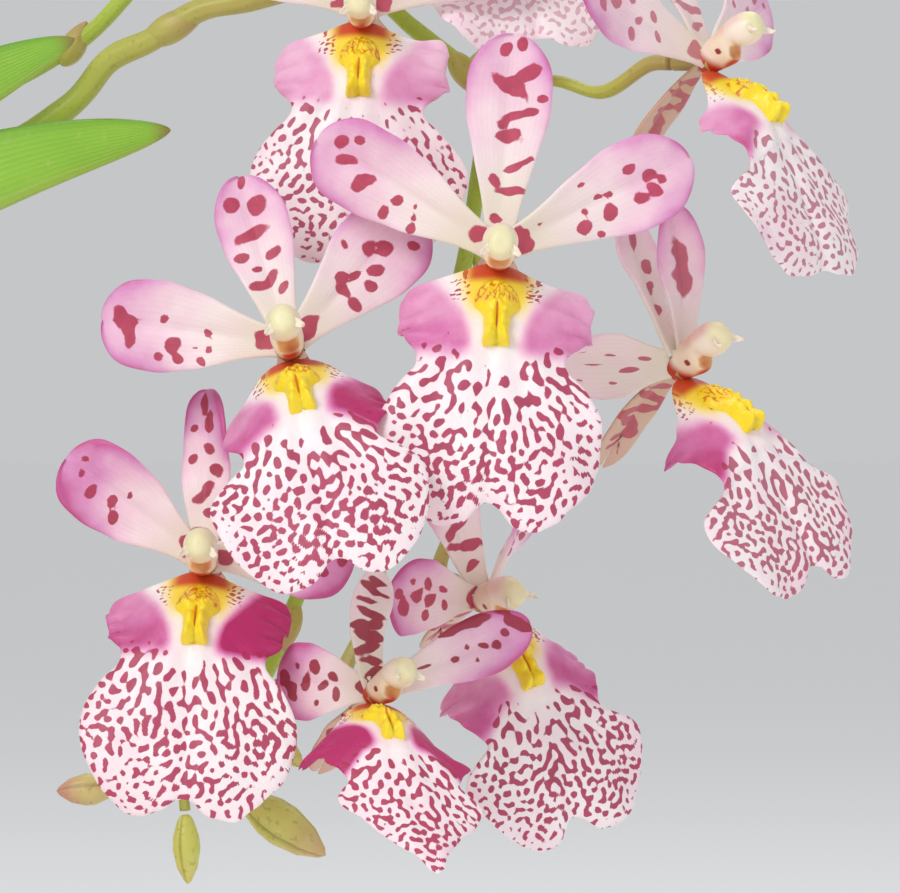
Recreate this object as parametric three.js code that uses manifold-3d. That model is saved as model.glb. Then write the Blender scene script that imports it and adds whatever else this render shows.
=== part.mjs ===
// A potted tolumnia orchid: a clay pot of bark, three fans of leaves, and an arching stem of nine blooms.
// Millimetres, +Z up, origin at the middle of the pot's underside. The spray of blooms faces -Y.
import * as THREE from 'three';
import { mergeVertices } from 'three/addons/utils/BufferGeometryUtils.js';
import Module from 'manifold-3d';

const wasm = await Module();
wasm.setup();

// Pot
const POT_TOP_RADIUS = 35;
const POT_BASE_RADIUS = 24;
const POT_HEIGHT = 62;
const POT_WALL = 4;
const POT_FLOOR = 5;
const RIM_HEIGHT = 14;
const RIM_PROUD = 1.8;
const POT_SIDES = 32;
const DRAIN_RADIUS = 3.5;
const DRAIN_OFFSET = 12;
const DRAIN_HOLES = 3;

// Potting mix
const MIX_TOP = 54;
const MIX_CHIPS = 19;
const CHIP_LENGTH = 13;

// Clearance between pieces that touch on the real plant
const GAP = 0.3;

// The spray hangs round this point, and its blooms are placed from it as seen from the front.
const SPRAY_X = 79;
const SPRAY_Z = 75;

// Bloom
const BLADE = 0.6;
const SEPAL_LENGTH = 12.4;
const PETAL_LENGTH = 13;
const COLUMN_LENGTH = 5.6;
const COLUMN_RISE = 19;
const NECK_LENGTH = 3;
const NECK_RADIUS = 0.6;

// Stem
const PEDUNCLE_RADIUS = 0.85;
const RACHIS_RADIUS = 0.6;
const PEDICEL_RADIUS = 0.42;
const SPIKE_RADIUS = 0.6;

const rad = THREE.MathUtils.degToRad;
const V = (x, y, z) => new THREE.Vector3(x, y, z);
const mix = THREE.MathUtils.lerp;

// Smooth rise from 0 to 1 between two values
function rise(x, from, to) {
  const t = THREE.MathUtils.clamp((x - from) / (to - from), 0, 1);
  return t * t * (3 - 2 * t);
}

// Seeded random numbers from 0 to 1
function seeded(seed) {
  let state = seed;
  return () => {
    state = (state + 0x6d2b79f5) | 0;
    let t = Math.imul(state ^ (state >>> 15), 1 | state);
    t = (t + Math.imul(t ^ (t >>> 7), 61 | t)) ^ t;
    return ((t ^ (t >>> 14)) >>> 0) / 4294967296;
  };
}

// Closed geometry to a solid that can be joined and cut
function solidOf(geometry, matrix = new THREE.Matrix4()) {
  const bare = new THREE.BufferGeometry();
  bare.setAttribute('position', geometry.getAttribute('position').clone());
  bare.setIndex(geometry.index);
  bare.applyMatrix4(matrix);
  const merged = mergeVertices(bare, 1e-4);
  return new wasm.Manifold(new wasm.Mesh({
    numProp: 3,
    vertProperties: merged.getAttribute('position').array,
    triVerts: new Uint32Array(merged.index.array),
  }));
}

function geometryOf(solid) {
  const { vertProperties, triVerts, numProp } = solid.getMesh();
  const count = vertProperties.length / numProp;
  const position = new Float32Array(count * 3);
  for (let i = 0; i < count; i += 1) {
    position.set(vertProperties.subarray(i * numProp, i * numProp + 3), i * 3);
  }
  const geometry = new THREE.BufferGeometry();
  geometry.setAttribute('position', new THREE.BufferAttribute(position, 3));
  geometry.setIndex(new THREE.BufferAttribute(new Uint32Array(triVerts), 1));
  geometry.computeVertexNormals();
  return geometry;
}

const join = (solids) => solids.reduce((sum, next) => sum.add(next));

// A surface of points and triangles made into a blade, with the same triangles on both faces
function thicken(points, faces, half) {
  const normals = points.map(() => V(0, 0, 0));
  for (const [a, b, c] of faces) {
    const normal = points[b].clone().sub(points[a]).cross(points[c].clone().sub(points[a]));
    for (const corner of [a, b, c]) normals[corner].add(normal);
  }
  const front = points.map((p, i) => p.clone().addScaledVector(normals[i].normalize(), half));
  const back = points.map((p, i) => p.clone().addScaledVector(normals[i], -half));
  const under = points.length;
  const edges = new Set(faces.flatMap(([a, b, c]) => [`${a} ${b}`, `${b} ${c}`, `${c} ${a}`]));
  const index = [];
  for (const [a, b, c] of faces) {
    index.push(a, b, c, under + a, under + c, under + b);
    for (const [p, q] of [[a, b], [b, c], [c, a]]) {
      if (!edges.has(`${q} ${p}`)) index.push(q, p, under + p, q, under + p, under + q);
    }
  }
  const geometry = new THREE.BufferGeometry().setFromPoints([...front, ...back]);
  geometry.setIndex(index);
  return geometry;
}

// Triangles of a grid of rows and columns, whose normal is across-row then along-column
function gridFaces(rows, columns) {
  const faces = [];
  for (let i = 0; i < rows; i += 1) {
    for (let j = 0; j < columns; j += 1) {
      const a = i * (columns + 1) + j;
      const b = a + columns + 1;
      faces.push([a, a + 1, b + 1], [a, b + 1, b]);
    }
  }
  return faces;
}

// Half width of a petal or sepal along its length, narrow at the claw and round at the tip
function bladeWidth(s, claw, widest, peak) {
  if (s < peak) return mix(claw, widest, rise(s, 0, peak));
  return widest * Math.sqrt(1 - 0.985 * ((s - peak) / (1 - peak)) ** 2);
}

// The middle line of a petal or sepal, with its outward and across directions, at s from 0 to 1
function bladeLine(organ, s) {
  const steps = 12;
  const angle = rad(organ.angle);
  const out = V(Math.sin(angle), 0, Math.cos(angle));
  const across = V(Math.cos(angle), 0, -Math.sin(angle));
  const face = V(0, -1, 0);
  const heading = (t) => {
    const lean = rad(organ.lean + organ.bend * t);
    const side = rad(organ.side * t);
    const flat = out.clone().multiplyScalar(Math.cos(side)).addScaledVector(across, Math.sin(side));
    const tangent = flat.clone().multiplyScalar(Math.cos(lean)).addScaledVector(face, Math.sin(lean));
    return { lean, side, flat, tangent };
  };
  const point = V(...organ.root);
  for (let k = 0; k < steps; k += 1) {
    point.addScaledVector(heading(s * (k + 0.5) / steps).tangent, organ.length * s / steps);
  }
  const { lean, side, flat } = heading(s);
  const wide = across.clone().multiplyScalar(Math.cos(side)).addScaledVector(out, -Math.sin(side));
  const up = face.clone().multiplyScalar(Math.cos(lean)).addScaledVector(flat, -Math.sin(lean));
  const turn = rad(organ.turn + organ.twist * s);
  return {
    point,
    wide: wide.clone().multiplyScalar(Math.cos(turn)).addScaledVector(up, Math.sin(turn)),
    up: up.clone().multiplyScalar(Math.cos(turn)).addScaledVector(wide, -Math.sin(turn)),
  };
}

// A point of a petal or sepal: s runs along it from 0 to 1, t across it from -1 to 1
function bladePoint(organ, s, t) {
  const reach = 1 - organ.notch * (1 - Math.abs(t)) ** 2 * s ** 6;
  const { point, wide, up } = bladeLine(organ, s * reach);
  const half = bladeWidth(s, organ.claw, organ.half, organ.peak);
  const wave = organ.wave * Math.sin(organ.waves * Math.PI * s + 1.3 * t) * t * t * rise(s, 0.1, 0.5);
  return point.addScaledVector(wide, half * t).addScaledVector(up, organ.cup * half * t * t + wave);
}

function bladeSolid(organ, rows, columns) {
  const points = [];
  for (let i = 0; i <= rows; i += 1) {
    const s = Math.sin(i / rows * Math.PI / 2);
    for (let j = 0; j <= columns; j += 1) points.push(bladePoint(organ, s, 2 * j / columns - 1));
  }
  return solidOf(thicken(points, gridFaces(rows, columns), BLADE / 2));
}

// The lip's flat outline, right half from the narrow base to the notch: across, and down the lip
const LIP_OUTLINE = [
  [0.9, -0.3], [2.3, 0.6], [4.1, 1.8], [5.9, 3.0], [6.6, 4.4], [6.1, 5.8], [5.0, 7.0], [4.8, 8.6],
  [5.9, 10.1], [7.1, 11.4], [7.4, 13.0], [6.7, 15.2], [5.2, 17.3], [3.4, 18.8], [1.7, 18.6], [0.4, 17.2],
];
const LIP_CENTRE = 8;

// The closed outline as a curve, with the two halves widened or narrowed and the middle lobe scaled
function lipOutline(lip) {
  const shaped = ([a, b]) => {
    const skirt = lip.skirt * (1 - lip.point * rise(b, 10, 19));
    return [a * mix(lip.shoulders, skirt, rise(b, 8, 11)), b];
  };
  const right = LIP_OUTLINE.map(shaped).map(([a, b]) => V(a * lip.right, b, 0));
  const left = LIP_OUTLINE.map(shaped).map(([a, b]) => V(-a * lip.left, b, 0)).reverse();
  return new THREE.CatmullRomCurve3([...right, ...left], true, 'catmullrom', 0.5);
}

// A point of the lip in the bloom's frame, from its place across and down the lip, raised by lift
function lipPoint(lip, a, b, lift = 0) {
  const steps = 16;
  const leanAt = (d) => rad(lip.lean + lip.shelf * (1 - rise(d, 2.5, 8)) - lip.curl * rise(d, 13, 20));
  const point = V(...lip.root);
  for (let k = 0; k < steps; k += 1) {
    const lean = leanAt(b * (k + 0.5) / steps);
    point.addScaledVector(V(0, -Math.sin(lean), -Math.cos(lean)), b / steps);
  }
  const lean = leanAt(b);
  const up = V(0, -Math.cos(lean), Math.sin(lean));
  const droop = mix(lip.droop, lip.arch, rise(b, 4, 10)) * a * a;
  const fold = lip.fold * Math.abs(a) * rise(b, 6, 11);
  const edge = Math.hypot(a / 7.5, (b - LIP_CENTRE) / 11);
  const wave = lip.wave * Math.sin(6 * Math.atan2(a, b - LIP_CENTRE) + lip.phase) * edge ** 4;
  return point.addScaledVector(V(1, 0, 0), a).addScaledVector(up, lift - droop - fold + wave);
}

function lipSolid(lip, around, rings) {
  const outline = lipOutline(lip);
  const points = [lipPoint(lip, 0, LIP_CENTRE)];
  const faces = [];
  for (let r = 1; r <= rings; r += 1) {
    const share = Math.sqrt(r / rings);
    for (let k = 0; k < around; k += 1) {
      const edge = outline.getPoint(k / around);
      points.push(lipPoint(lip, edge.x * share, mix(LIP_CENTRE, edge.y, share)));
    }
  }
  for (let k = 0; k < around; k += 1) {
    const next = (k + 1) % around;
    faces.push([0, 1 + next, 1 + k]);
    for (let r = 1; r < rings; r += 1) {
      const inner = 1 + (r - 1) * around;
      const outer = 1 + r * around;
      faces.push([inner + k, inner + next, outer + next], [inner + k, outer + next, outer + k]);
    }
  }
  return solidOf(thicken(points, faces, BLADE / 2));
}

// The callus: a warty crest on the lip's base that ends in two blunt lobes
const CALLUS_TOP = 0.4;
const CALLUS_LENGTH = 6.6;
const CALLUS_HALF = 1.9;

function callusSolid(lip, around = 12) {
  const middle = CALLUS_TOP + CALLUS_LENGTH / 2;
  const rings = [[0, 1.5], [0.62, 1.35], [0.95, 0.75], [1, -0.1]];
  const points = [];
  for (const [share, high] of rings) {
    for (let k = 0; k < (share === 0 ? 1 : around); k += 1) {
      const turn = 2 * Math.PI * k / around;
      const low = Math.cos(turn);
      const a = CALLUS_HALF * share * Math.sin(turn) * mix(1, 0.72, rise(low, -0.4, 1));
      const b = middle + CALLUS_LENGTH / 2 * share * low * (low > 0.9 ? 0.86 : 1);
      points.push(lipPoint(lip, a, b, high * (1 + 0.35 * low * share)));
    }
  }
  points.push(lipPoint(lip, 0, middle, -0.1));
  const foot = points.length - 1;
  const index = [];
  for (let k = 0; k < around; k += 1) {
    const next = (k + 1) % around;
    index.push(0, 1 + k, 1 + next);
    for (let r = 0; r < 2; r += 1) {
      const inner = 1 + r * around;
      const outer = inner + around;
      index.push(inner + k, outer + next, inner + next, inner + k, outer + k, outer + next);
    }
    index.push(foot, 1 + 2 * around + next, 1 + 2 * around + k);
  }
  const geometry = new THREE.BufferGeometry().setFromPoints(points);
  geometry.setIndex(index);
  return solidOf(geometry);
}

// The column: a stubby body that ends in a hood
function columnSolid() {
  const profile = [[0, -0.6], [1.1, -0.4], [1.1, 1.0], [1.4, 2.6], [1.8, 4.0], [1.5, 5.2], [0, 5.7]];
  const scaled = profile.map(([r, y]) => new THREE.Vector2(r, y * COLUMN_LENGTH / 5.7));
  const raised = new THREE.Matrix4().makeRotationX(rad(180 - COLUMN_RISE));
  return solidOf(new THREE.LatheGeometry(scaled, 8), raised);
}

// A round stalk along a curve, closed at both ends
function stalk(points, radius, steps, sides = 6) {
  const curve = new THREE.CatmullRomCurve3(points);
  const ring = new THREE.Shape();
  for (let k = 0; k < sides; k += 1) {
    const turn = 2 * Math.PI * k / sides;
    const place = [radius * Math.cos(turn), radius * Math.sin(turn)];
    if (k === 0) ring.moveTo(...place);
    else ring.lineTo(...place);
  }
  ring.closePath();
  return solidOf(new THREE.ExtrudeGeometry(ring, { steps, extrudePath: curve, curveSegments: 1 }));
}

// What a petal or sepal has unless its own entry says otherwise. angle is its way in the bloom's face,
// clockwise from up. lean tips it out of the face, bend adds to that along it, and side bends it sideways.
// turn and twist roll it about its own middle line, and claw and half are its half widths.
const ORGAN = {
  root: [0, 0, 0], angle: 0, length: PETAL_LENGTH, claw: 1, half: 3.1, peak: 0.7, notch: 0,
  lean: -14, bend: 8, side: 0, turn: 0, twist: 0, cup: 0.1, wave: 0.3, waves: 3,
};
const DORSAL = { ...ORGAN, root: [0, 0.2, 0.6], half: 2.8, length: SEPAL_LENGTH, lean: -22, bend: 10 };
const LEFT = { ...ORGAN, angle: -65, root: [-0.4, 0.1, 0.3] };
const RIGHT = { ...ORGAN, angle: 65, root: [0.4, 0.1, 0.3] };
const SYNSEPAL = {
  ...ORGAN, angle: 180, root: [0, 0.5, -0.2], length: 10, claw: 0.9, half: 1.9, peak: 0.6, notch: 0.3,
  lean: -58, bend: 20, wave: 0.1,
};

// The lip leans out by lean, and by shelf more at its base, and its end curls back. droop and arch lower
// its sides, fold creases it down the middle, and point narrows the middle lobe to a tip.
const LIP = {
  root: [0, -0.4, -1.0], lean: 28, shelf: 38, curl: 14, droop: 0.09, arch: 0.012, fold: 0.02,
  wave: 0.35, phase: 0, left: 1, right: 1, shoulders: 1, skirt: 1, point: 0,
};

// Each bloom: the place of its column from the spray's middle, the way it faces, and what sets it apart.
// yaw turns it to the right, pitch tips its face down, roll turns it clockwise as seen from the front.
// stalk is the way its pedicel takes from the rachis, in the same frame.
const BLOOMS = [
  {
    name: 'bloom_1', at: [-5.9, 6, 29.4], yaw: -3, pitch: 22, roll: 1, size: 0.93,
    lip: { skirt: 1.06 },
    stalk: [[-5.1, 15, 31.1], [-5.6, 12, 32.4]],
  },
  {
    name: 'bloom_2', at: [1.6, 16.5, 39.6], yaw: 16, pitch: 0, roll: -10, size: 0.86,
    stalk: [[1.0, 14.6, 25.9], [4.6, 19, 30], [5.6, 24, 37]],
  },
  {
    name: 'bloom_3', at: [17.4, 5, 26.0], yaw: 53, pitch: -6, roll: 0, size: 0.92,
    lip: { lean: 15 },
    stalk: [[1.9, 14, 24.2], [7, 12.4, 25.1], [10.4, 10.4, 24.2]],
  },
  {
    name: 'bloom_4', at: [3.2, -5.2, 12.8], yaw: 0, pitch: 20, roll: 3, size: 1,
    dorsal: { angle: 1, length: 13.8 },
    leftPetal: { length: 13.6, angle: -63 },
    rightPetal: { length: 13.6, angle: 63 },
    stalk: [[2.0, 13, 20], [3, 7, 17]],
  },
  {
    name: 'bloom_5', at: [-10.6, -4.8, 6.6], yaw: 2, pitch: 5, roll: -13, size: 1,
    lip: { curl: 25, shoulders: 0.92, droop: 0.12, right: 0.95 },
    dorsal: { angle: -4, length: 11.4, half: 2.4 },
    leftPetal: { angle: -70, length: 12.2 },
    rightPetal: { angle: 58, length: 12.5, lean: -24 },
    stalk: [[-4.4, 10.2, -0.3], [-9, 5, 3]],
  },
  {
    name: 'bloom_6', at: [15.6, 7, 5.4], yaw: 46, pitch: -2, roll: 0, size: 0.95,
    lip: { lean: 25 },
    dorsal: { lean: -28, bend: 8, turn: -25, half: 2.2 },
    leftPetal: { lean: -58, bend: 0, angle: -88, twist: 60, length: 8.6 },
    rightPetal: { angle: 14, lean: -4, bend: 10, turn: -20, length: 10.8, half: 2.2 },
    stalk: [[1.5, 12, 14], [4, 13, 7], [8, 12.6, 4.4]],
  },
  {
    name: 'bloom_7', at: [-16.4, -0.4, -7.6], yaw: -3, pitch: 12, roll: 3, size: 0.97,
    lip: { droop: 0.07 },
    dorsal: { length: 11.2, half: 2.1, twist: 50, angle: -2 },
    leftPetal: { angle: -58, length: 11.4 },
    rightPetal: { angle: 88, length: 10 },
    stalk: [[-9.6, 10, -9], [-14, 8, -8]],
  },
  {
    name: 'bloom_8', at: [-4.9, -4, -16.3], yaw: 32, pitch: 2, roll: 4, size: 0.84,
    lip: { point: 0.85, fold: 0.25, lean: 34, curl: 0, left: 0.85 },
    dorsal: { angle: -20, side: 60, lean: -12, bend: -6, length: 9.8, half: 1.9, turn: 15 },
    leftPetal: { angle: -88, length: 8.4, lean: -62 },
    rightPetal: { angle: 60, lean: 18 },
    stalk: [[-5.3, 10, -2], [-4.8, 10, -9]],
  },
  {
    name: 'bloom_9', at: [2.2, 8, -10.4], yaw: 40, pitch: 17, roll: -22, size: 0.9,
    leftPetal: { angle: -68, length: 8, lean: -10 },
    rightPetal: { angle: 56, turn: -35, half: 2.2, length: 9.5 },
    stalk: [[-0.8, 11.1, 6], [0.9, 14, -3]],
  },
];

function bloomMatrix({ at, yaw, pitch, roll, size }) {
  const turn = new THREE.Euler(rad(pitch), rad(roll), rad(yaw), 'ZXY');
  const matrix = new THREE.Matrix4().makeRotationFromEuler(turn).scale(V(size, size, size));
  return matrix.setPosition(SPRAY_X + at[0], at[1], SPRAY_Z + at[2]);
}

// The end of a bloom's neck, where its pedicel takes over
const NECK_END = V(0, NECK_LENGTH, 0.3);
const NECK_WAY = V(0, 1, 0.1).normalize();

function bloomSolid(bloom) {
  const lip = { ...LIP, ...bloom.lip };
  const parts = [
    bladeSolid({ ...DORSAL, ...bloom.dorsal }, 6, 2),
    bladeSolid({ ...LEFT, ...bloom.leftPetal }, 6, 2),
    bladeSolid({ ...RIGHT, ...bloom.rightPetal }, 6, 2),
    bladeSolid({ ...SYNSEPAL, ...bloom.synsepal }, 5, 2),
    lipSolid(lip, 28, 2),
    callusSolid(lip),
    columnSolid(),
    stalk([V(0, -0.5, 0), V(0, NECK_LENGTH / 2, 0.1), NECK_END], NECK_RADIUS, 2, 5),
  ];
  return join(parts).transform(bloomMatrix(bloom).elements);
}

const fromSpray = ([x, y, z]) => V(SPRAY_X + x, y, SPRAY_Z + z);

// The pedicel of a bloom: from inside the rachis to just behind the bloom's neck
function pedicelSolid(bloom) {
  const matrix = bloomMatrix(bloom);
  const end = NECK_END.clone().addScaledVector(NECK_WAY, GAP / bloom.size).applyMatrix4(matrix);
  const before = NECK_END.clone().addScaledVector(NECK_WAY, 2.2).applyMatrix4(matrix);
  return stalk([...bloom.stalk.map(fromSpray), before, end], PEDICEL_RADIUS, 2 * bloom.stalk.length + 3, 5);
}

// The peduncle leaves the mix, passes behind its own leaves and arches over to the right.
const PEDUNCLE = [
  V(5, 18, MIX_TOP - 6), V(5.5, 18, MIX_TOP + 3), V(10, 18.5, 68), V(27, 19, 84),
  ...[[-26.4, 18, 23.7], [-23.6, 17, 26.8], [-20.8, 16, 28.1], [-17.3, 15, 30.1], [-14.5, 14.5, 30.7],
    [-8.9, 14.5, 32.1]].map(fromSpray),
];

// The rachis, the part that bears the blooms, hangs down behind them.
const RACHIS = [
  [-14.5, 14.5, 30.7], [-8.9, 14.5, 32.1], [-5.1, 15, 31.1], [-3.0, 15, 29.3], [1.8, 14, 24.7],
  [1.7, 12, 16.9], [-0.7, 11, 6.6], [-5.5, 10, -2.3], [-10.2, 10, -9.8], [-11.6, 10, -13.6],
  [-13.3, 10, -17.3], [-14.5, 10, -21.1],
].map(fromSpray);

// Bracts: small sheaths that clasp the stem, each at a place along it with its length and thickness
const BRACTS = [
  { at: [-19, 15.5, 29.1], way: [1, -0.3, 0.5], long: 2.6, thick: 1.1 },
  { at: [1.2, 14.2, 25.6], way: [0.6, 0, -0.8], long: 2.0, thick: 0.95 },
  { at: [-11.1, 10, -12.4], way: [-0.3, 0, -1], long: 2.0, thick: 0.95 },
  { at: [-3.4, 10.5, 1.6], way: [-0.5, 0, -0.9], long: 1.7, thick: 0.9 },
];

function ovalSolid({ at, way, long, thick }) {
  const turn = new THREE.Quaternion().setFromUnitVectors(V(0, 1, 0), V(...way).normalize());
  const matrix = new THREE.Matrix4().compose(fromSpray(at), turn, V(thick, long, thick));
  return solidOf(new THREE.SphereGeometry(1, 5, 4), matrix);
}

// Buds: each from its base to its tip, with the way its stalk takes from the rachis
const BUDS = [
  { name: 'bud_1', base: [-22.7, 6, -23.1], tip: [-26.6, 6, -23.3], thick: 1.1,
    stalk: [[-14.5, 10, -20.6], [-18.5, 9, -23.2]] },
  { name: 'bud_2', base: [-17.9, 6, -24.9], tip: [-17.7, 6, -29.6], thick: 0.95,
    stalk: [[-14.5, 10, -20.6], [-17, 8.4, -22.8]] },
  { name: 'bud_3', base: [-14.0, 6.5, -23.7], tip: [-8.4, 5, -27.6], thick: 1.4,
    stalk: [[-14.5, 10, -20.6], [-15, 8, -22.4]] },
  { name: 'bud_4', base: [-11.8, 7, -19.8], tip: [-10.0, 6.5, -21.7], thick: 0.7,
    stalk: [[-13.6, 10, -18], [-12.6, 8.6, -18.8]] },
];

function budSolid({ base, tip, thick }) {
  const from = fromSpray(base);
  const to = fromSpray(tip);
  const long = from.distanceTo(to);
  const profile = [[0, 0], [0.35, 0], [0.62, 0.1], [0.95, 0.32], [1, 0.5], [0.75, 0.76], [0.3, 0.95], [0, 1]];
  const scaled = profile.map(([r, y]) => new THREE.Vector2(r * thick, y * long));
  const turn = new THREE.Quaternion().setFromUnitVectors(V(0, 1, 0), to.sub(from).normalize());
  return solidOf(new THREE.LatheGeometry(scaled, 8), new THREE.Matrix4().compose(from, turn, V(1, 1, 1)));
}

function budStalkSolid({ base, tip, stalk: way }) {
  const from = fromSpray(base);
  const back = from.clone().sub(fromSpray(tip)).normalize();
  const end = from.clone().addScaledVector(back, GAP);
  const before = from.clone().addScaledVector(back, 1.5);
  return stalk([...way.map(fromSpray), before, end], PEDICEL_RADIUS * 0.9, 5, 4);
}

function flowerStemSolid() {
  return join([
    stalk(PEDUNCLE, PEDUNCLE_RADIUS, 20),
    stalk(RACHIS, RACHIS_RADIUS, 24),
    ...BLOOMS.map(pedicelSolid),
    ...BUDS.map(budStalkSolid),
    ...BRACTS.map(ovalSolid),
  ]);
}

// The young spike: a thin stem behind the leaves that ends in three small buds
const YOUNG_SPIKE = [
  V(-3, 21, MIX_TOP - 6), V(-2.5, 21, MIX_TOP + 3), V(4, 21.5, 70), V(24, 22, 88),
  ...[[-26.3, 21, 28.1], [-23.0, 20, 31.1], [-19.8, 19, 35.2], [-18.2, 18.5, 38.6]].map(fromSpray),
];
const YOUNG_BUDS = [
  { at: [-17.8, 18.4, 40.0], way: [0.3, 0, 1], long: 1.9, thick: 1.0 },
  { at: [-20.9, 19, 36.6], way: [-0.8, 0, 1], long: 1.6, thick: 0.85 },
  { at: [-18.4, 19, 36.0], way: [1, 0, 0.6], long: 1.6, thick: 0.85 },
  { at: [-26.3, 21, 28.2], way: [0.5, 0, 0.9], long: 1.8, thick: 0.95 },
];

function youngSpikeSolid() {
  return join([stalk(YOUNG_SPIKE, SPIKE_RADIUS, 22, 5), ...YOUNG_BUDS.map(ovalSolid)]);
}

// Leaf fans: flat, folded leaves in one plane, each given by its lean from upright, its further bend,
// its length and its width. turn swings the fan's plane round Z, and drift moves the tips back.
const FANS = [
  {
    name: 'leaf_fan_1', at: [7, 12], turn: 0,
    leaves: [
      { lean: 24, bend: 58, length: 69, width: 9, drift: 2 },
      { lean: 22, bend: 46, length: 67, width: 8.6, drift: 3 },
      { lean: 14, bend: 10, length: 56, width: 8, drift: 1 },
      { lean: -6, bend: -10, length: 52, width: 8, drift: -1 },
      { lean: -26, bend: -18, length: 55, width: 8.4, drift: -1 },
      { lean: -50, bend: -30, length: 46, width: 8, drift: 0 },
    ],
  },
  {
    name: 'leaf_fan_2', at: [-10, -6], turn: -14,
    leaves: [
      { lean: 52, bend: 34, length: 32, width: 7, drift: 0 },
      { lean: 26, bend: 16, length: 41, width: 7.6, drift: -1 },
      { lean: 5, bend: 6, length: 44, width: 7.6, drift: 0 },
      { lean: -18, bend: -14, length: 46, width: 8, drift: 1 },
      { lean: -44, bend: -26, length: 40, width: 7.4, drift: 0 },
    ],
  },
  {
    name: 'leaf_fan_3', at: [5, -21], turn: -6,
    leaves: [
      { lean: 40, bend: 30, length: 30, width: 6.4, drift: -1 },
      { lean: 14, bend: 14, length: 34, width: 6.8, drift: 0 },
      { lean: -10, bend: -10, length: 32, width: 6.6, drift: -1 },
      { lean: -36, bend: -30, length: 27, width: 6.2, drift: 0 },
    ],
  },
];
const LEAF_RINGS = 6;
const LEAF_THICK = 2.4;
const FAN_FOOT = 3;

// Half the leaf's width at s from 0 at the base to 1 at the pointed tip
function leafHalf(leaf, s) {
  const broad = 0.62 + 0.38 * rise(s, 0, 0.4);
  return leaf.width / 2 * broad * Math.sqrt(Math.max(1 - s ** 3.2, 0.004));
}

// A leaf is a fleshy blade whose lower edge is its thick keel.
function leafSolid(leaf) {
  const section = [[-1, 0], [-0.15, 0.42], [0.6, 0.5], [1, 0], [0.6, -0.5], [-0.15, -0.42]];
  const sides = section.length;
  const point = V(0, 0, 0);
  const positions = [];
  const index = [];
  const steps = 4;
  const downhill = Math.sign(leaf.lean);
  for (let i = 0; i <= LEAF_RINGS; i += 1) {
    const s = Math.sin(i / LEAF_RINGS * Math.PI / 2);
    const before = i === 0 ? 0 : Math.sin((i - 1) / LEAF_RINGS * Math.PI / 2);
    for (let k = 0; k < steps && i > 0; k += 1) {
      const lean = rad(leaf.lean + leaf.bend * mix(before, s, (k + 0.5) / steps));
      point.add(V(Math.sin(lean), 0, Math.cos(lean)).multiplyScalar(leaf.length * (s - before) / steps));
    }
    const lean = rad(leaf.lean + leaf.bend * s);
    const across = V(Math.cos(lean), 0, -Math.sin(lean)).multiplyScalar(downhill);
    const thick = Math.max(LEAF_THICK * (1 - 0.62 * s), BLADE * 1.2);
    for (const [t, deep] of section) {
      const corner = point.clone().addScaledVector(across, leafHalf(leaf, s) * t);
      corner.y += deep * thick + leaf.drift * s * s;
      positions.push(corner);
    }
  }
  for (let i = 0; i < LEAF_RINGS; i += 1) {
    for (let k = 0; k < sides; k += 1) {
      const a = i * sides + k;
      const b = i * sides + (k + 1) % sides;
      index.push(a, b, b + sides, a, b + sides, a + sides);
    }
  }
  const last = LEAF_RINGS * sides;
  for (let k = 1; k < sides - 1; k += 1) index.push(0, k + 1, k, last, last + k, last + k + 1);
  if (downhill > 0) {
    for (let i = 0; i < index.length; i += 3) [index[i + 1], index[i + 2]] = [index[i + 2], index[i + 1]];
  }
  const geometry = new THREE.BufferGeometry().setFromPoints(positions);
  geometry.setIndex(index);
  return solidOf(geometry);
}

function fanSolid({ at, turn, leaves }) {
  const spread = V(FAN_FOOT * 1.5, FAN_FOOT * 0.7, FAN_FOOT);
  const foot = new THREE.Matrix4().makeTranslation(0, 0, 0.6).scale(spread);
  const parts = [solidOf(new THREE.SphereGeometry(1, 8, 5), foot), ...leaves.map(leafSolid)];
  const place = new THREE.Matrix4().makeRotationZ(rad(turn)).setPosition(...at, MIX_TOP + FAN_FOOT);
  return join(parts).transform(place.elements);
}

// The rhizome creeps from fan to fan, half sunk in the bark, and its roots run out over the surface.
const RHIZOME_RADIUS = 1.5;
const ROOT_RADIUS = 0.8;
const ROOT_LIMIT = 25;
const RHIZOME_Z = MIX_TOP - RHIZOME_RADIUS;
const ROOT_TURNS = [20, 100, 140, 205, 275, 330];

function rootPaths() {
  const random = seeded(7);
  const starts = FANS.map((fan) => fan.at);
  return ROOT_TURNS.map((degrees, k) => {
    const [x, y] = starts[k % starts.length];
    const turn = rad(degrees + 16 * (random() - 0.5));
    const reach = 13 + 5 * random();
    const at = (share, bow, z) => V(
      x + reach * share * Math.cos(turn + bow),
      y + reach * share * Math.sin(turn + bow),
      0,
    ).clampLength(0, ROOT_LIMIT).setZ(z);
    return [
      at(0, 0, RHIZOME_Z),
      at(0.3, 0.1, MIX_TOP),
      at(0.65, 0.25, MIX_TOP + 0.4),
      at(1, 0.3, MIX_TOP - 3),
    ];
  });
}

function rootsSolid(extra = 0) {
  const creep = FANS.map(({ at }) => V(...at, RHIZOME_Z));
  creep.unshift(V(13, 17, RHIZOME_Z));
  creep.push(V(8, -23, RHIZOME_Z));
  return join([
    stalk(creep, RHIZOME_RADIUS + extra, 12, 6),
    ...rootPaths().map((path) => stalk(path, ROOT_RADIUS + extra, 6, 5)),
  ]);
}

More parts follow.
